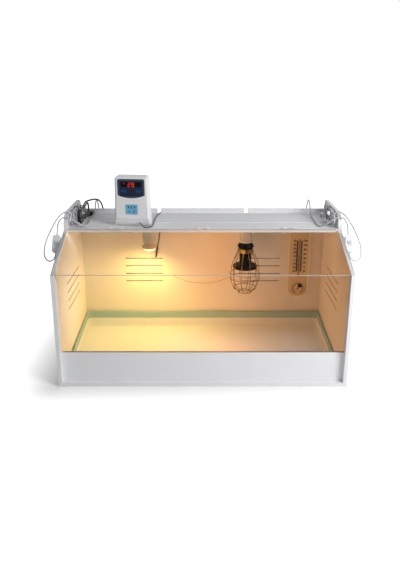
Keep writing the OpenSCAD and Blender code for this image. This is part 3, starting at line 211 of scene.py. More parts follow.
# Floor liner. A thin white pad laid on the floor board and turned up against the boards all round,
# highest at the back, with the upper part of the border dyed grey-green. It lies a little loose, so the
# pad ripples and the border waves.
half_w, half_l = 0.3885, 0.1925
middle_y = 0.008
pad_z, border_z = 0.0113, 0.0116
corner = 0.014
front_rise, back_rise = 0.022, 0.055
thick = 0.0018
pad_rows, border_rows = 20, 8
# The pad is white; its colour is tinted blue as painted cool light against the warm lamps.
pad_cool_tint, border_dye = (0.8, 0.88, 0.96), (0.36, 0.56, 0.6)
white_to, dye_from = 0.0243, 0.0263
flat_to, border_from = 0.0145, 0.0165
outline = []
for cx, cy, first in (
    (half_w - corner, half_l - corner, 0),
    (corner - half_w, half_l - corner, 90),
    (corner - half_w, corner - half_l, 180),
    (half_w - corner, corner - half_l, 270),
):
    for k in range(9):
        a = math.radians(first + 11.25 * k)
        outline.append((cx + corner * math.cos(a), cy + corner * math.sin(a)))
edge_points = []
for (ax, ay), (bx, by) in zip(outline, outline[1:] + outline[:1]):
    parts = max(1, round(math.hypot(bx - ax, by - ay) / 0.012))
    for k in range(parts):
        edge_points.append((ax + (bx - ax) * k / parts, ay + (by - ay) * k / parts))


def ripple(x, y):
    waves = math.sin(23 * x + 9 * y + 0.7) * math.sin(17 * y - 6 * x + 0.4)
    waves = waves + 0.6 * math.sin(41 * x - 29 * y)
    near = min(half_w - abs(x), half_l - abs(y))
    return 0.0009 * (1 + 0.6 * waves) * min(1, max(0, near / 0.04))


rows = []
for k in range(1, pad_rows + 1):
    share = k / pad_rows
    rows.append(
        [
            (x * share * (1 - 0.006), y * share * (1 - 0.012), pad_z + ripple(x * share, y * share))
            for x, y in edge_points
        ]
    )
for k in range(1, border_rows + 1):
    share = k / border_rows
    row = []
    for x, y in edge_points:
        lean = 0.0012 * math.sin(31 * x + 37 * y) * share
        lean = lean + 0.0008 * math.sin(83 * x - 71 * y) * share * share
        half = half_w if abs(x) / half_w >= abs(y) / half_l else half_l
        bend = 1 - 0.0048 * (1 - min(1, share * 2.4)) - (0.0016 + abs(lean)) / half
        tall = front_rise + (back_rise - front_rise) * (y + half_l) / (2 * half_l)
        tall = tall * (1 - 0.02 * (1 + math.sin(19 * x + 23 * y)))
        row.append((x * bend, y * bend, border_z + tall * share))
    rows.append(row)
cloth = bmesh.new()
hub = cloth.verts.new((0, middle_y, pad_z + ripple(0, 0)))
rings = [[cloth.verts.new((x, y + middle_y, z)) for x, y, z in row] for row in rows]
for i in range(len(edge_points)):
    j = (i + 1) % len(edge_points)
    cloth.faces.new((hub, rings[0][i], rings[0][j]))
    for low, high in zip(rings, rings[1:]):
        cloth.faces.new((low[i], high[i], high[j], low[j]))
cloth.normal_update()
inner = {v: v.co.copy() for v in cloth.verts}
normals = {v: v.normal.copy() for v in cloth.verts}
shell = bmesh.ops.duplicate(cloth, geom=cloth.verts[:] + cloth.edges[:] + cloth.faces[:])
twin = shell["vert_map"]
for v, normal in normals.items():
    twin[v].co = inner[v] - normal * thick / 2
    v.co = inner[v] + normal * thick / 2
underside = [face for face in shell["geom"] if isinstance(face, bmesh.types.BMFace)]
bmesh.ops.reverse_faces(cloth, faces=underside)
for i in range(len(edge_points)):
    j = (i + 1) % len(edge_points)
    a, b = rings[-1][i], rings[-1][j]
    cloth.faces.new((a, twin[a], twin[b], b))
bmesh.ops.recalc_face_normals(cloth, faces=cloth.faces[:])
for face in cloth.faces:
    face.smooth = True
liner_mesh = bpy.data.meshes.new("floor_liner_cloth")
cloth.to_mesh(liner_mesh)
cloth.free()
liner = bpy.data.objects.new("floor_liner_cloth", liner_mesh)
scene.collection.objects.link(liner)
weave, tree, shader = blank("liner_cloth")
shader.inputs["Roughness"].default_value = 0.85
point = spot(tree)
x, y, z = axes(tree, point)
level = reckon(tree, "MULTIPLY_ADD", y, (front_rise - back_rise) / (2 * half_l), z)
wavering = reckon(tree, "MULTIPLY_ADD", noise(tree, point, 30, 2), 0.002, level)
upper = fade(tree, wavering, white_to, dye_from)
turned_up = fade(tree, z, flat_to, border_from)
dyed = reckon(tree, "MINIMUM", upper, turned_up)
tree.links.new(mixed(tree, dyed, (*pad_cool_tint, 1), (*border_dye, 1)), shader.inputs["Base Color"])
thread = {"Strength": 0.3, "Distance": 0.0004, "Height": noise(tree, point, 700, 3)}
tree.links.new(shade(tree, "Bump", thread).outputs["Normal"], shader.inputs["Normal"])
liner_mesh.materials.append(weave)
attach(liner, "cabinet")
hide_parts("floor_liner")


# Clear sheets. Front pane and lid, sawn from polished acrylic: almost invisible flat on, with a faint
# reflection and grey cut edges; the edge of the finger notch is painted near-black as painted shade.
# They tone the light that enters while the lid is shut. The lid's hinges have clear leaves on it, and
# white leaves and pins on the top board.
def vector(tree, operation, *values):
    node = shade(tree, "VectorMath", dict(enumerate(values)), operation=operation)
    return node.outputs["Value" if operation in ("DOT_PRODUCT", "DISTANCE", "LENGTH") else "Vector"]


def clear_sheet(name, facing, edge, cover):
    side_cover, flat_on = 0.15, 0.8
    chamber_half, boards_half = 0.38, 0.387
    chamber_back, boards_back = -0.06, -0.03
    chamber_tone, clear_tone = (0.26, 0.238, 0.18), (0.975, 0.985, 0.985)
    material, tree, rim = blank(name)
    rim.inputs["Base Color"].default_value = (*edge, 1)
    rim.inputs["Roughness"].default_value = 0.15
    point = spot(tree)
    x, y, z = axes(tree, point)
    beside = fade(tree, reckon(tree, "ABSOLUTE", x), chamber_half, boards_half)
    tree.links.new(fade(tree, beside, 0, 1, cover, side_cover), rim.inputs["Alpha"])

    surface = shade(tree, "NewGeometry", {})
    swing = vector(tree, "DOT_PRODUCT", surface.outputs["True Normal"], facing)
    raised = reckon(tree, "LESS_THAN", reckon(tree, "ABSOLUTE", swing), flat_on)
    over_boards = reckon(tree, "MAXIMUM", beside, fade(tree, y, chamber_back, boards_back))
    free = reckon(tree, "MAXIMUM", raised, over_boards)
    rays = shade(tree, "LightPath", {})
    clear = reckon(tree, "MAXIMUM", free, rays.outputs["Is Camera Ray"])
    tone = mixed(tree, clear, (*chamber_tone, 1), (*clear_tone, 1))
    through = shade(tree, "BsdfTransparent", {"Color": tone})

    haze = fade(tree, noise(tree, point, 9, 5), 0, 1, 0.01, 0.07)
    shine = shade(tree, "BsdfGlossy", {"Roughness": haze})
    bend = shade(tree, "Fresnel", {"IOR": 1.12})
    outer = reckon(tree, "SUBTRACT", 1, surface.outputs["Backfacing"])
    mirror = reckon(tree, "MULTIPLY", outer, bend.outputs["Fac"])
    layers = {"Fac": mirror, 1: through.outputs["BSDF"], 2: shine.outputs["BSDF"]}
    face = shade(tree, "MixShader", layers)

    turned = {"Vector": surface.outputs["True Normal"]}
    own = shade(tree, "VectorTransform", turned, vector_type="NORMAL")
    tilt = vector(tree, "DOT_PRODUCT", own.outputs["Vector"], facing)
    flat = reckon(tree, "GREATER_THAN", reckon(tree, "ABSOLUTE", tilt), flat_on)
    whole = shade(tree, "MixShader", {"Fac": flat, 1: rim.outputs["BSDF"], 2: face.outputs["Shader"]})
    tree.links.new(whole.outputs["Shader"], tree.nodes["Material Output"].inputs["Surface"])
    return material


# Painted shade: the cut edge of the finger notch in the front pane is painted near-black.
front_edge, notch_shade_edge = (0.5, 0.47, 0.42), (0.05, 0.04, 0.03)
front_cover, notch_cover = 0.5, 0.45
notch_top = 0.3175
front_clear = clear_sheet("front_clear", facing=(0, 1, 0), edge=front_edge, cover=front_cover)
tree = front_clear.node_tree
rim = tree.nodes["Principled BSDF"]
x, y, z = axes(tree, spot(tree))
notch = reckon(tree, "LESS_THAN", z, notch_top)
tree.links.new(mixed(tree, notch, (*front_edge, 1), (*notch_shade_edge, 1)), rim.inputs["Base Color"])
side_rim = rim.inputs["Alpha"].links[0].from_node
bolder = reckon(tree, "MULTIPLY_ADD", notch, notch_cover, front_cover)
tree.links.new(bolder, side_rim.inputs["To Min"])
coat(front_clear, "front_pane")

lid_low, lid_high, lid_run = 0.323, 0.397, 0.2
lid_slope = math.atan2(lid_high - lid_low, lid_run)
lid_facing = (0, -math.sin(lid_slope), math.cos(lid_slope))
lid_clear = clear_sheet("lid_clear", facing=lid_facing, edge=(0.5, 0.48, 0.45), cover=0.75)
coat(lid_clear, "lid_pane")
hinge_clear = moulded(
    "clear_hinge", (0.85, 0.86, 0.87), rough=0.15, grain=0.001, edge=0.0004, depth=0.00005
)
hinge_clear.node_tree.nodes["Principled BSDF"].inputs["Alpha"].default_value = 0.03
coat(hinge_clear, "hinge_moving_leaves")
coat(strip, "hinge_fixed_leaves", "hinge_pins")

# Lamps. White glazed holders screwed under the top boards, coloured a darker bluish grey as painted
# shade, with rolled metal lamp caps in them; a frosted reflector bulb that is lit; a black glazed heat
# emitter inside a guard of brass band and wires.
# Painted shade: the white holders are given a darker bluish grey.
holder = moulded(
    "holder_ceramic", (0.55, 0.6, 0.63), rough=0.22, grain=0.004, edge=0.001, spread=0.012
)
coat(holder, "light_holder", "heat_holder")
coat(metal("cap_metal", (0.7, 0.7, 0.69), tarnish=(0.5, 0.5, 0.48), rough=0.25, streak=900), "lamp_caps")
emitter = moulded(
    "emitter_ceramic",
    (0.0035, 0.003, 0.0028),
    rough=0.35,
    grain=0.002,
    edge=0.0008,
    spread=0.0015,
    depth=0.0002,
    shine=0.05,
)
coat(emitter, "heat_emitter")
guard_brass = metal("guard_brass", (0.4, 0.32, 0.12), tarnish=(0.17, 0.12, 0.04), rough=0.3, streak=700)
coat(guard_brass, "guard_band", "guard_ribs", "guard_hoops")
glow_top, glow_full = 0.3125, 0.306
bulb, tree, shader = blank("bulb_glass")
shader.inputs["Roughness"].default_value = 0.35
shader.inputs["Base Color"].default_value = (0.5, 0.42, 0.32, 1)
shader.inputs["Emission Color"].default_value = (1, 0.72, 0.26, 1)
x, y, z = axes(tree, spot(tree))
tree.links.new(fade(tree, z, glow_top, glow_full, 0.02, 6), shader.inputs["Emission Strength"])
coat(bulb, "light_bulb")

# Wall thermometer. A tan plate with a painted highlight along its rim and black printed scales, hung on
# the back board; a glass tube with a red column; and below it a hygrometer dial with a dark sector and a
# red needle.
plate_end = Vector((0.03, 0, 0.03))
highlight_inner, highlight_outer = 0.0255, 0.0265
plate = moulded(
    "thermometer_plate", (0.74, 0.65, 0.48), rough=0.45, grain=0.002, edge=0.0008, spread=0.02
)
plate_low, plate_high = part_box("thermometer_plate")
tree = plate.node_tree
# Painted highlight: a pale band along the plate's rounded rim, where its bevel catches light.
centred = vector(tree, "SUBTRACT", spot(tree), (plate_low + plate_high) / 2)
straight = (plate_high - plate_low) / 2 - plate_end
past = vector(tree, "SUBTRACT", vector(tree, "ABSOLUTE", centred), straight)
past = vector(tree, "MULTIPLY", vector(tree, "MAXIMUM", past, (0, 0, 0)), (1, 0, 1))
rim_highlight = fade(tree, vector(tree, "LENGTH", past), highlight_inner, highlight_outer)
painted(plate, rim_highlight, (0.98, 0.93, 0.74))
coat(plate, "thermometer_plate")

red_to, dark_from = 0.208, 0.228
column = moulded("column_red", (0.6, 0.02, 0.015), rough=0.3, grain=0.002, edge=0.0002)
tree = column.node_tree
x, y, z = axes(tree, spot(tree))
painted(column, fade(tree, z, red_to, dark_from), (0.09, 0.02, 0.016))
coat(column, "thermometer_column")
tube, tree, shader = blank("tube_glass")
shader.inputs["Base Color"].default_value = (0.55, 0.4, 0.3, 1)
shader.inputs["Roughness"].default_value = 0.08
shader.inputs["Alpha"].default_value = 0.35
coat(tube, "thermometer_tube")

dial_paper = moulded("dial_paper", (0.78, 0.68, 0.5), rough=0.6, grain=0.001, edge=0.0003, spread=0.015)
coat(dial_paper, "hygrometer_face")
dial_rim = moulded("dial_rim", (0.76, 0.68, 0.52), rough=0.35, grain=0.002, edge=0.0006, spread=0.015)
coat(dial_rim, "hygrometer_rim")
dial_low, dial_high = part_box("hygrometer_rim")
hub_reach, pointer_from = 0.0042, 0.0048
needle = moulded("needle_red", (0.65, 0.04, 0.03), rough=0.4, grain=0.001, edge=0.0002)
tree = needle.node_tree
from_hub = vector(tree, "DISTANCE", spot(tree), (dial_low + dial_high) / 2)
painted(needle, fade(tree, from_hub, hub_reach, pointer_from), (0.03, 0.02, 0.018))
coat(needle, "hygrometer_needle")

plate_face = plate_low.y
plate_x = (plate_low.x + plate_high.x) / 2
tube_low, tube_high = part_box("thermometer_tube")
dial_z = (dial_low.z + dial_high.z) / 2
dial_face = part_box("hygrometer_face")[0].y
print_thick = 0.00012
marks = bmesh.new()


def bar(x, z, wide, tall, turn, face):
    start = Matrix.Translation((x, face - print_thick / 2, z)) @ Matrix.Rotation(turn, 4, "Y")
    bmesh.ops.create_cube(marks, size=1, matrix=start @ Matrix.Diagonal((wide, print_thick, tall, 1)))


def numeral(word, x, z, size):
    curve = bpy.data.curves.new("numeral", "FONT")
    curve.body = word
    curve.size = size
    curve.align_x = "CENTER"
    curve.align_y = "CENTER"
    curve.extrude = print_thick / 2
    curve.resolution_u = 3
    curve.offset = size * 0.045
    letter = bpy.data.objects.new("numeral", curve)
    shape = bpy.data.meshes.new_from_object(letter)
    upright = Matrix.Rotation(math.pi / 2, 4, "X")
    shape.transform(Matrix.Translation((x, plate_face - print_thick / 2, z)) @ upright)
    marks.from_mesh(shape)
    bpy.data.objects.remove(letter)
    bpy.data.curves.remove(curve)
    bpy.data.meshes.remove(shape)


scale_low, scale_high = tube_low.z + 0.021, tube_high.z - 0.006
scale_run = scale_high - scale_low
tick_x, line_x, line_wide = 0.0066, 0.0094, 0.0004
for side, words, word_x, tick_tall in (
    (-1, ("50", "40", "30", "20", "10", "0", "10", "20", "30"), 0.0152, 0.0011),
    (1, ("120", "100", "80", "60", "40", "20", "0", "20"), 0.0182, 0.0012),
):
    last = len(words) - 1
    for i, word in enumerate(words):
        z = scale_high - scale_run * i / last
        numeral(word, plate_x + side * word_x, z, 0.0086)
        for k in range(10 if i < last else 1):
            tick_z = z - scale_run * k / (10 * last)
            tick_wide = 0.0062 if k % 5 == 0 else 0.0054
            bar(plate_x + side * tick_x, tick_z, tick_wide, tick_tall, 0, plate_face)
for side in (-1, 1):
    bar(plate_x + side * line_x, (scale_low + scale_high) / 2, line_wide, scale_run, 0, plate_face)
tick_outer, tick_wide = 0.0186, 0.0013
for k in range(31):
    a = math.radians(-150 + 10 * k)
    tick = 0.006 if k % 3 == 0 else 0.004
    middle = tick_outer - tick / 2
    bar(plate_x + middle * math.sin(a), dial_z + middle * math.cos(a), tick_wide, tick, a, dial_face)
sector_inner, sector_outer, sector_angle = 0.0058, 0.0172, math.radians(72)
ends = [marks.verts.new((plate_x, dial_face, dial_z + r)) for r in (sector_inner, sector_outer)]
plain = set(marks.faces)
bmesh.ops.spin(
    marks,
    geom=[*ends, marks.edges.new(ends)],
    cent=(plate_x, dial_face, dial_z),
    axis=(0, 1, 0),
    angle=sector_angle,
    steps=12,
)
sector = [face for face in marks.faces if face not in plain]
raised_print = bmesh.ops.extrude_face_region(marks, geom=sector)["geom"]
bmesh.ops.translate(
    marks,
    verts=[piece for piece in raised_print if isinstance(piece, bmesh.types.BMVert)],
    vec=(0, -print_thick, 0),
)
bmesh.ops.remove_doubles(marks, verts=marks.verts[:], dist=0.000001)
bmesh.ops.recalc_face_normals(marks, faces=marks.faces[:])
print_mesh = bpy.data.meshes.new("thermometer_print")
marks.to_mesh(print_mesh)
marks.free()
print_black = moulded(
    "print_black",
    (0.02, 0.018, 0.016),
    rough=0.6,
    grain=0.0008,
    edge=0.00005,
    spread=0.006,
    depth=0.00003,
)
print_mesh.materials.append(print_black)
scale_print = bpy.data.objects.new("thermometer_print", print_mesh)
scene.collection.objects.link(scale_print)
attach(scale_print, "cabinet")

# Controller. It stands on the top boards, turned a little to the left: a white satin housing on a cream
# foot, a dark blue window with a slate border and a black filter for the lit digits, dark blue keys
# either side of a brown one, and a light blue socket plate whose holes are painted dark as painted
# shade.
controller_spot = (-0.204, 0.04, 0.4)
controller_turn = math.radians(6)


def squared(tree, centre):
    turned = {"Vector": spot(tree), "Center": centre, "Angle": controller_turn}
    return shade(tree, "VectorRotate", turned, rotation_type="Z_AXIS").outputs["Vector"]


housing = moulded(
    "controller_white", (0.9, 0.905, 0.92), rough=0.42, grain=0.0009, edge=0.001, spread=0.008
)
coat(housing, "controller_shell", "controller_cover")
foot = moulded("controller_cream", (0.8, 0.79, 0.78), rough=0.45, grain=0.0009, edge=0.001)
coat(foot, "controller_foot")

window_low, window_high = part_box("controller_window")
window_middle = (window_low + window_high) / 2
window_half_z = (window_high.z - window_low.z) / 2
panel_half_x, slate_half_x = 0.0338, 0.0346
panel_inset_z, slate_inset_z = 0.0052, 0.0044
window = moulded(
    "window_dark",
    (0.012, 0.025, 0.065),
    rough=0.3,
    grain=0.002,
    edge=0.0003,
    spread=0.006,
    depth=0.00003,
    shine=0.1,
)
tree = window.node_tree
centred = vector(tree, "SUBTRACT", squared(tree, window_middle), window_middle)
x, y, z = axes(tree, vector(tree, "ABSOLUTE", centred))
beside = fade(tree, x, panel_half_x, slate_half_x)
above = fade(tree, z, window_half_z - panel_inset_z, window_half_z - slate_inset_z)
painted(window, reckon(tree, "MAXIMUM", beside, above), (0.07, 0.074, 0.09))
coat(window, "controller_window")

display = moulded(
    "display_black",
    (0.003, 0.002, 0.003),
    rough=0.3,
    grain=0.002,
    edge=0.0002,
    spread=0.001,
    depth=0.00003,
    shine=0.05,
)
coat(display, "controller_display")
digits = moulded("digits_red", (0.5, 0.02, 0.015), rough=0.3, grain=0.001, edge=0.0001, depth=0.00003)
shader = digits.node_tree.nodes["Principled BSDF"]
shader.inputs["Emission Color"].default_value = (1, 0.03, 0.015, 1)
shader.inputs["Emission Strength"].default_value = 0.8
coat(digits, "controller_digits")

for name, colour, keys in (
    ("key_blue", (0.015, 0.055, 0.17), ("controller_key_left", "controller_key_right")),
    ("key_brown", (0.03, 0.012, 0.012), ("controller_key_middle",)),
):
    coat(moulded(name, colour, rough=0.5, grain=0.0006, edge=0.0006, spread=0.006, shine=0.15), *keys)

shaded_hole_depth_y = 0.0213
socket = moulded(
    "socket_blue", (0.2, 0.5, 0.72), rough=0.3, grain=0.001, edge=0.0004, depth=0.00006, shine=0.2
)
tree = socket.node_tree
x, y, z = axes(tree, squared(tree, controller_spot))
# Painted shade: the walls of the socket holes, deeper than the plate face, are painted near-black.
painted(socket, reckon(tree, "GREATER_THAN", y, shaded_hole_depth_y), (0.004, 0.005, 0.008))
coat(socket, "controller_socket")
circuit = moulded("circuit_green", (0.03, 0.16, 0.07), rough=0.4, grain=0.001, edge=0.0002)
coat(circuit, "controller_board")


# Cords. Plastic-sheathed leads. Each lamp has a pale limp one that leaves its holder through the rim,
# comes back over it beside the ear, runs through an inline switch and ends in loops tied there. The
# controller has a stiffer black mains lead, tied in loops on the left, and a thin black sensor lead.
def smoothed(points, steps=5):
    path = []
    for i in range(len(points) - 1):
        a = points[max(i - 1, 0)]
        b, c = points[i], points[i + 1]
        d = points[min(i + 2, len(points) - 1)]
        for k in range(steps):
            t = k / steps
            path.append(
                0.5
                * (
                    2 * b
                    + (c - a) * t
                    + (2 * a - 5 * b + 4 * c - d) * t * t
                    + (3 * b - a - 3 * c + d) * t * t * t
                )
            )
    path.append(points[-1])
    return path


def cord_curve(name, path, diameter, material):
    data = bpy.data.curves.new(name, "CURVE")
    data.dimensions = "3D"
    data.bevel_depth = diameter / 2
    data.bevel_resolution = 3
    data.use_fill_caps = True
    spline = data.splines.new("POLY")
    spline.points.add(len(path) - 1)
    for point, place in zip(spline.points, path):
        point.co = (*place, 1)
    data.materials.append(material)
    piece = bpy.data.objects.new(name, data)
    scene.collection.objects.link(piece)
    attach(piece, "cabinet")
    return piece, sum((b - a).length for a, b in zip(path, path[1:]))


def sheath(name, dark, pale, rough, shine):
    material, tree, shader = blank(name)
    grain = noise(tree, spot(tree), 90, 4)
    tree.links.new(mottled(tree, grain, 0.3, 0.7, dark, pale), shader.inputs["Base Color"])
    bump = shade(tree, "Bump", {"Strength": 0.08, "Distance": 0.0003, "Height": grain})
    tree.links.new(bump.outputs["Normal"], shader.inputs["Normal"])
    shader.inputs["Roughness"].default_value = rough
    shader.inputs["Specular IOR Level"].default_value = shine
    return material


def hank(run, fold, step, turn, turns, draw, end, middle, layers, way):
    path = []
    steps = 64
    for i in range(round(turns * steps) + 1):
        t = i / steps
        q = t % 1
        f = 4 * q % 1
        r = fold - step * (t if t < turn else 2 * turn - t)
        c = min(1, max(0, 4 * (t - turn) + 0.5))
        c = c * c * (3 - 2 * c)
        pull = draw * (1 - (1 - 2 * f) ** 2) ** 2
        a = math.pi * f
        if q < 0.25:
            u, w = run * (1 - 2 * f), r - pull
        elif q < 0.5:
            u, w = -run - r * math.sin(a), r * math.cos(a)
        elif q < 0.75:
            u, w = run * (2 * f - 1), pull - r
        else:
            u, w = run + r * math.sin(a), -r * math.cos(a)
        path.append((u, w, c))
    u, w, c = path[-1]
    path.append((u + math.copysign(end, u), w, c))
    near, far = layers
    return [
        Vector((middle[0] + near + (far - near) * c, middle[1] - way * u, middle[2] - way * w))
        for u, w, c in path
    ]


def flipped(path):
    return [Vector((-p.x, p.y, p.z)) for p in path]


lead_d, mains_d, sensor_d = 0.004, 0.005, 0.003
ear_at = Vector((0.39, -0.012, 0.4))
rim_x, rim_y, rim_z = 0.39, 0.202, 0.4
rim_at = Vector((rim_x, rim_y, rim_z))
slot_at = Vector((0.139, 0.202, 0.4))
lead_slot = [
    (0.0023, -0.008, -0.021), (0.0023, 0.004, -0.021), (0.0025, 0.015, -0.021),
    (0.005, 0.026, -0.022), (0.013, 0.035, -0.026), (0.029, 0.04, -0.034), (0.054, 0.041, -0.047),
    (0.084, 0.041, -0.058), (0.114, 0.041, -0.062),
]
lead_rim = [
    (-0.11, 0.041, -0.058), (-0.086, 0.04, -0.046), (-0.066, 0.039, -0.028),
    (-0.056, 0.037, -0.008), (-0.053, 0.034, 0.01), (-0.052, 0.03, 0.024), (-0.052, 0.022, 0.034),
    (-0.052, 0.01, 0.04), (-0.052, -0.004, 0.04), (-0.052, -0.016, 0.034), (-0.052, -0.026, 0.024),
    (-0.052, -0.035, 0.013), (-0.052, -0.046, 0.005), (-0.052, -0.06, 0.0026),
    (-0.053, -0.09, 0.0024), (-0.053, -0.114, 0.003), (-0.053, -0.132, 0.0044),
    (-0.053, -0.15, 0.003),
]
lead_ear = [
    (-0.053, 0.042, 0.0024), (-0.048, 0.024, 0.0034), (-0.038, 0.013, 0.009),
    (-0.025, 0.008, 0.018), (-0.013, 0.007, 0.027), (-0.003, 0.007, 0.0315), (0.007, 0.006, 0.0325),
    (0.015, 0.003, 0.03), (0.021, -0.004, 0.022), (0.023, -0.012, 0.014), (0.023, -0.02, 0.004),
    (0.023, -0.026, -0.004), (0.023, -0.032, -0.012),
]
tail_ear = [
    (0.023, -0.062, -0.052), (0.023, -0.065, -0.056), (0.024, -0.07, -0.063),
    (0.029, -0.075, -0.07), (0.038, -0.078, -0.073), (0.047, -0.076, -0.069), (0.053, -0.07, -0.06),
    (0.055, -0.062, -0.048), (0.054, -0.052, -0.034), (0.05, -0.041, -0.019),
    (0.044, -0.03, -0.004), (0.037, -0.019, 0.011), (0.029, -0.008, 0.025), (0.02, 0.003, 0.037),
    (0.011, 0.012, 0.044), (0.003, 0.017, 0.047), (-0.005, 0.019, 0.046), (-0.01, 0.02, 0.038),
    (-0.01, 0.0195, 0.028), (-0.01, 0.022, 0.018), (-0.01, 0.028, 0.01), (-0.01, 0.036, 0.006),
    (-0.01, 0.042, 0.005), (-0.01, 0.046, 0.005),
]
mains_rim = [
    (-0.17, -0.11, 0.01), (-0.166, -0.094, 0.0065), (-0.16, -0.078, 0.0034), (-0.153, -0.06, 0.003),
    (-0.145, -0.042, 0.0036), (-0.138, -0.026, 0.008), (-0.132, -0.012, 0.015), (-0.127, 0, 0.0205),
    (-0.122, 0.011, 0.021), (-0.116, 0.022, 0.016), (-0.112, 0.029, 0.008), (-0.109, 0.034, -0.006),
    (-0.103, 0.037, -0.019), (-0.093, 0.038, -0.027), (-0.083, 0.038, -0.027),
    (-0.075, 0.037, -0.019), (-0.07, 0.035, -0.006), (-0.067, 0.03, 0.009), (-0.065, 0.023, 0.023),
    (-0.062, 0.012, 0.035), (-0.057, 0, 0.043), (-0.05, -0.013, 0.047), (-0.042, -0.027, 0.0483),
    (-0.035, -0.039, 0.0482), (-0.03, -0.049, 0.048), (-0.0285, -0.055, 0.048),
    (-0.0285, -0.059, 0.048),
]
sensor_table = [
    (-0.176, -0.195, 0.007), (-0.171, -0.2, 0.0038), (-0.163, -0.2015, 0.0018),
    (-0.155, -0.198, 0.0017), (-0.15, -0.189, 0.0017), (-0.1475, -0.175, 0.0017),
    (-0.1465, -0.158, 0.0017), (-0.146, -0.142, 0.0036), (-0.146, -0.122, 0.0034),
    (-0.146, -0.102, 0.0019), (-0.145, -0.072, 0.0017), (-0.142, -0.042, 0.0017),
    (-0.1385, -0.02, 0.0018), (-0.136, -0.007, 0.0021), (-0.1356, -0.001, 0.0026),
    (-0.1356, 0.0032, 0.0008), (-0.1356, 0.005, -0.004), (-0.1356, 0.0055, -0.012),
    (-0.1356, 0.004, -0.02), (-0.1356, 0, -0.026), (-0.136, -0.004, -0.032),
    (-0.137, -0.005, -0.045), (-0.139, -0.005, -0.068), (-0.142, -0.005, -0.09),
    (-0.146, -0.005, -0.106), (-0.147, -0.005, -0.112),
]
# Painted shade: the pale lamp cords are coloured a mid-grey, darker than the real sheath.
pale_sheath = sheath("cord_white", (0.48, 0.48, 0.5), (0.66, 0.66, 0.67), rough=0.45, shine=0.5)
black_sheath = sheath("cord_black", (0.008, 0.008, 0.009), (0.02, 0.02, 0.022), rough=0.4, shine=0.2)

outlet_z = 0.379
for lamp, outlet_x, placed in (("light", 0.165, flipped), ("heat", 0.133, list)):
    slot_x = slot_at.x + lead_slot[0][0]
    start = [
        Vector((outlet_x, 0.136, outlet_z)),
        Vector((outlet_x, 0.145, outlet_z)),
        Vector((0.8 * outlet_x + 0.2 * slot_x, 0.16, outlet_z)),
        Vector((0.2 * outlet_x + 0.8 * slot_x, 0.181, outlet_z)),
    ]
    route = start + [slot_at + Vector(p) for p in lead_slot]
    route += [rim_at + Vector(p) for p in lead_rim] + [ear_at + Vector(p) for p in lead_ear]
    lead_path = placed(smoothed(route))
    lead, length = cord_curve(lamp + "_lead_cord", lead_path, lead_d, pale_sheath)
    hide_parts(lamp + "_lead")
    loops = hank(
        run=0.04,
        fold=0.022,
        step=0.0047,
        turn=2.125,
        turns=4.25,
        draw=0.005,
        end=lead_d,
        middle=ear_at + Vector((0, 0.09, 0.027)),
        layers=(-0.01, -0.0148),
        way=1,
    )
    tail_path = placed(smoothed([ear_at + Vector(p) for p in tail_ear]) + loops)
    tail, length = cord_curve(lamp + "_tail_cord", tail_path, lead_d, pale_sheath)
    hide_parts(lamp + "_tail", lamp + "_hank")

controller_at = Matrix.Translation(controller_spot) @ Matrix.Rotation(-controller_turn, 4, "Z")
start = [controller_at @ Vector((-0.02, y, 0.012)) for y in (0.027, 0.037)]
route = start + [Vector((-p[0] - rim_x, p[1] + rim_y, p[2] + rim_z)) for p in mains_rim]
loops = hank(
    run=0.054,
    fold=0.019,
    step=0.0059,
    turn=0.625,
    turns=1.75,
    draw=0.005,
    end=mains_d,
    middle=ear_at + Vector((0, 0.096, 0.029)),
    layers=(-0.0285, -0.0343),
    way=-1,
)
mains_path = smoothed(route) + flipped(loops)
mains, length = cord_curve("mains_cord", mains_path, mains_d, black_sheath)
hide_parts("mains_lead", "mains_hank")

start = [controller_at @ Vector((0.026, y, z)) for y, z in ((-0.021, 0.011), (-0.027, 0.01))]
route = start + [Vector((p[0], p[1] + rim_y, p[2] + rim_z)) for p in sensor_table]
sensor_path = smoothed(route)
sensor, length = cord_curve("sensor_cord", sensor_path, sensor_d, black_sheath)
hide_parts("sensor_lead")

# Pieces on the cords. Moulded plastic with a fine grain and softened edges: pale switches with grey
# rockers, pale plugs for the lamps, a black plug and the dark sensor for the controller, and black ties.
switch = moulded("switch_white", (0.86, 0.86, 0.88), rough=0.3, grain=0.0006, edge=0.0008)
coat(switch, "light_switch", "heat_switch")
rocker = moulded("rocker_grey", (0.62, 0.62, 0.64), rough=0.3, grain=0.0006, edge=0.0005)
coat(rocker, "light_rocker", "heat_rocker")
pale_plug = moulded("plug_white", (0.72, 0.72, 0.73), rough=0.35, grain=0.0006, edge=0.0008)
coat(pale_plug, "light_plug", "heat_plug")
black_plug = moulded(
    "plug_black", (0.025, 0.025, 0.027), rough=0.4, grain=0.0006, edge=0.0008, spread=0.006, shine=0.2
)
coat(black_plug, "mains_plug", "sensor_tip")
tie = moulded("tie_black", (0.03, 0.03, 0.03), rough=0.45, grain=0.0005, edge=0.0003, spread=0.005)
coat(tie, "cord_ties")


# Floor and light. A plain pale floor that fades into a white backdrop, with its glow held low near the
# box as a painted contact shadow, a soft sky, one wide studio lamp from the right with a weak one
# behind, and
# the light in the chamber: warm from the bulb and back from the boards, paler on the left wall, and cool
# on the liner.
def shown(tree):
    rays = shade(tree, "LightPath", {}).outputs
    near = reckon(tree, "MAXIMUM", rays["Is Camera Ray"], rays["Is Glossy Ray"])
    return reckon(tree, "MAXIMUM", near, rays["Is Transmission Ray"])


def lamp_at(name, kind, energy, place, **settings):
    data = bpy.data.lights.new(name, kind)
    data.energy = energy
    for setting, value in settings.items():
        setattr(data, setting, value)
    light = bpy.data.objects.new(name, data)
    light.location = place
    scene.collection.objects.link(light)
    return light


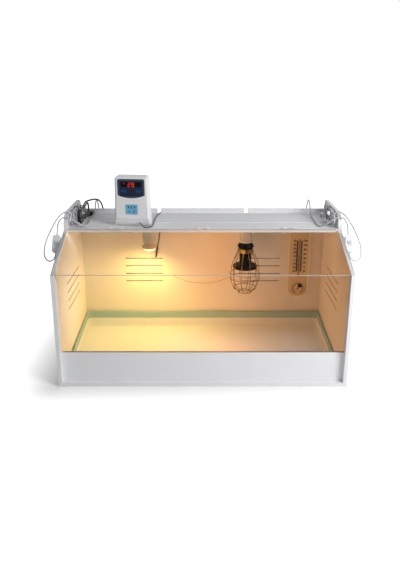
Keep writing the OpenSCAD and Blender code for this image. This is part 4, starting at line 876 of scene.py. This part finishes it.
floor_mesh = bpy.data.meshes.new("floor")
grid = bmesh.new()
bmesh.ops.create_grid(grid, x_segments=1, y_segments=1, size=8)
grid.to_mesh(floor_mesh)
grid.free()
floor = bpy.data.objects.new("floor", floor_mesh)
scene.collection.objects.link(floor)
footprint = (0.4, 0.212, 0)
shadow_reach, shadow_lift = 0.16, 0.14
floor_paint, tree, shader = blank("floor_paint")
shader.inputs["Base Color"].default_value = (0.85, 0.85, 0.85, 1)
shader.inputs["Roughness"].default_value = 0.9
shader.inputs["Emission Color"].default_value = (1, 1, 1, 1)
# Painted shadow: the floor's glow is lower close to the box's footprint, as a painted contact shadow.
past = vector(tree, "SUBTRACT", vector(tree, "ABSOLUTE", spot(tree)), footprint)
from_box = vector(tree, "LENGTH", vector(tree, "MAXIMUM", past, (0, 0, 0)))
lift = reckon(tree, "MULTIPLY", fade(tree, from_box, 0, shadow_reach, shadow_lift, 1), shown(tree))
tree.links.new(lift, shader.inputs["Emission Strength"])
floor_mesh.materials.append(floor_paint)

world = bpy.data.worlds.new("studio")
world.use_nodes = True
scene.world = world
tree = world.node_tree
sky = tree.nodes["Background"]
sky.inputs["Color"].default_value = (0.96, 0.97, 1, 1)
sky.inputs["Strength"].default_value = 0.22
backdrop = shade(tree, "Background", {"Color": (1, 1, 1, 1)})
sides = {"Fac": shown(tree), 1: sky.outputs["Background"], 2: backdrop.outputs["Background"]}
pick = shade(tree, "MixShader", sides)
tree.links.new(pick.outputs["Shader"], tree.nodes["World Output"].inputs["Surface"])

lit_middle = Vector((0, 0, 0.3))
studio = lamp_at("studio_lamp", "AREA", energy=27.5, place=(1.3, -1.2, 1.12), size=0.9)
rear = lamp_at("rear_lamp", "AREA", energy=4.5, place=(1, 1.8, 1.5), size=1.2)
for light in (studio, rear):
    light.rotation_euler = (lit_middle - light.location).to_track_quat("-Z", "Y").to_euler()
warm = lamp_at(
    "bulb_lamp",
    "SPOT",
    energy=2.5,
    place=(-0.165, 0.106, 0.295),
    color=(1, 0.66, 0.17),
    spot_size=math.radians(172),
    spot_blend=0.9,
    shadow_soft_size=0.02,
)
warm.rotation_euler = (0, math.radians(12), 0)
board_glow = lamp_at(
    "board_glow",
    "POINT",
    energy=1.3,
    place=(0.03, -0.05, 0.2),
    color=(1, 0.34, 0.09),
    shadow_soft_size=0.08,
)
wall_glow = lamp_at(
    "wall_glow",
    "AREA",
    energy=0.11,
    place=(-0.05, -0.08, 0.22),
    color=(1, 0.97, 0.8),
    size=0.2,
    spread=math.radians(75),
)
wall_glow.rotation_euler = (0, math.pi / 2, 0)
liner_glow = lamp_at(
    "liner_glow",
    "AREA",
    energy=0.048,
    place=(0.1, -0.04, 0.12),
    color=(0.3, 0.75, 1),
    shape="RECTANGLE",
    size=0.5,
    size_y=0.3,
    spread=math.radians(90),
)
for light in (rear, board_glow, wall_glow, liner_glow):
    light.visible_camera = False
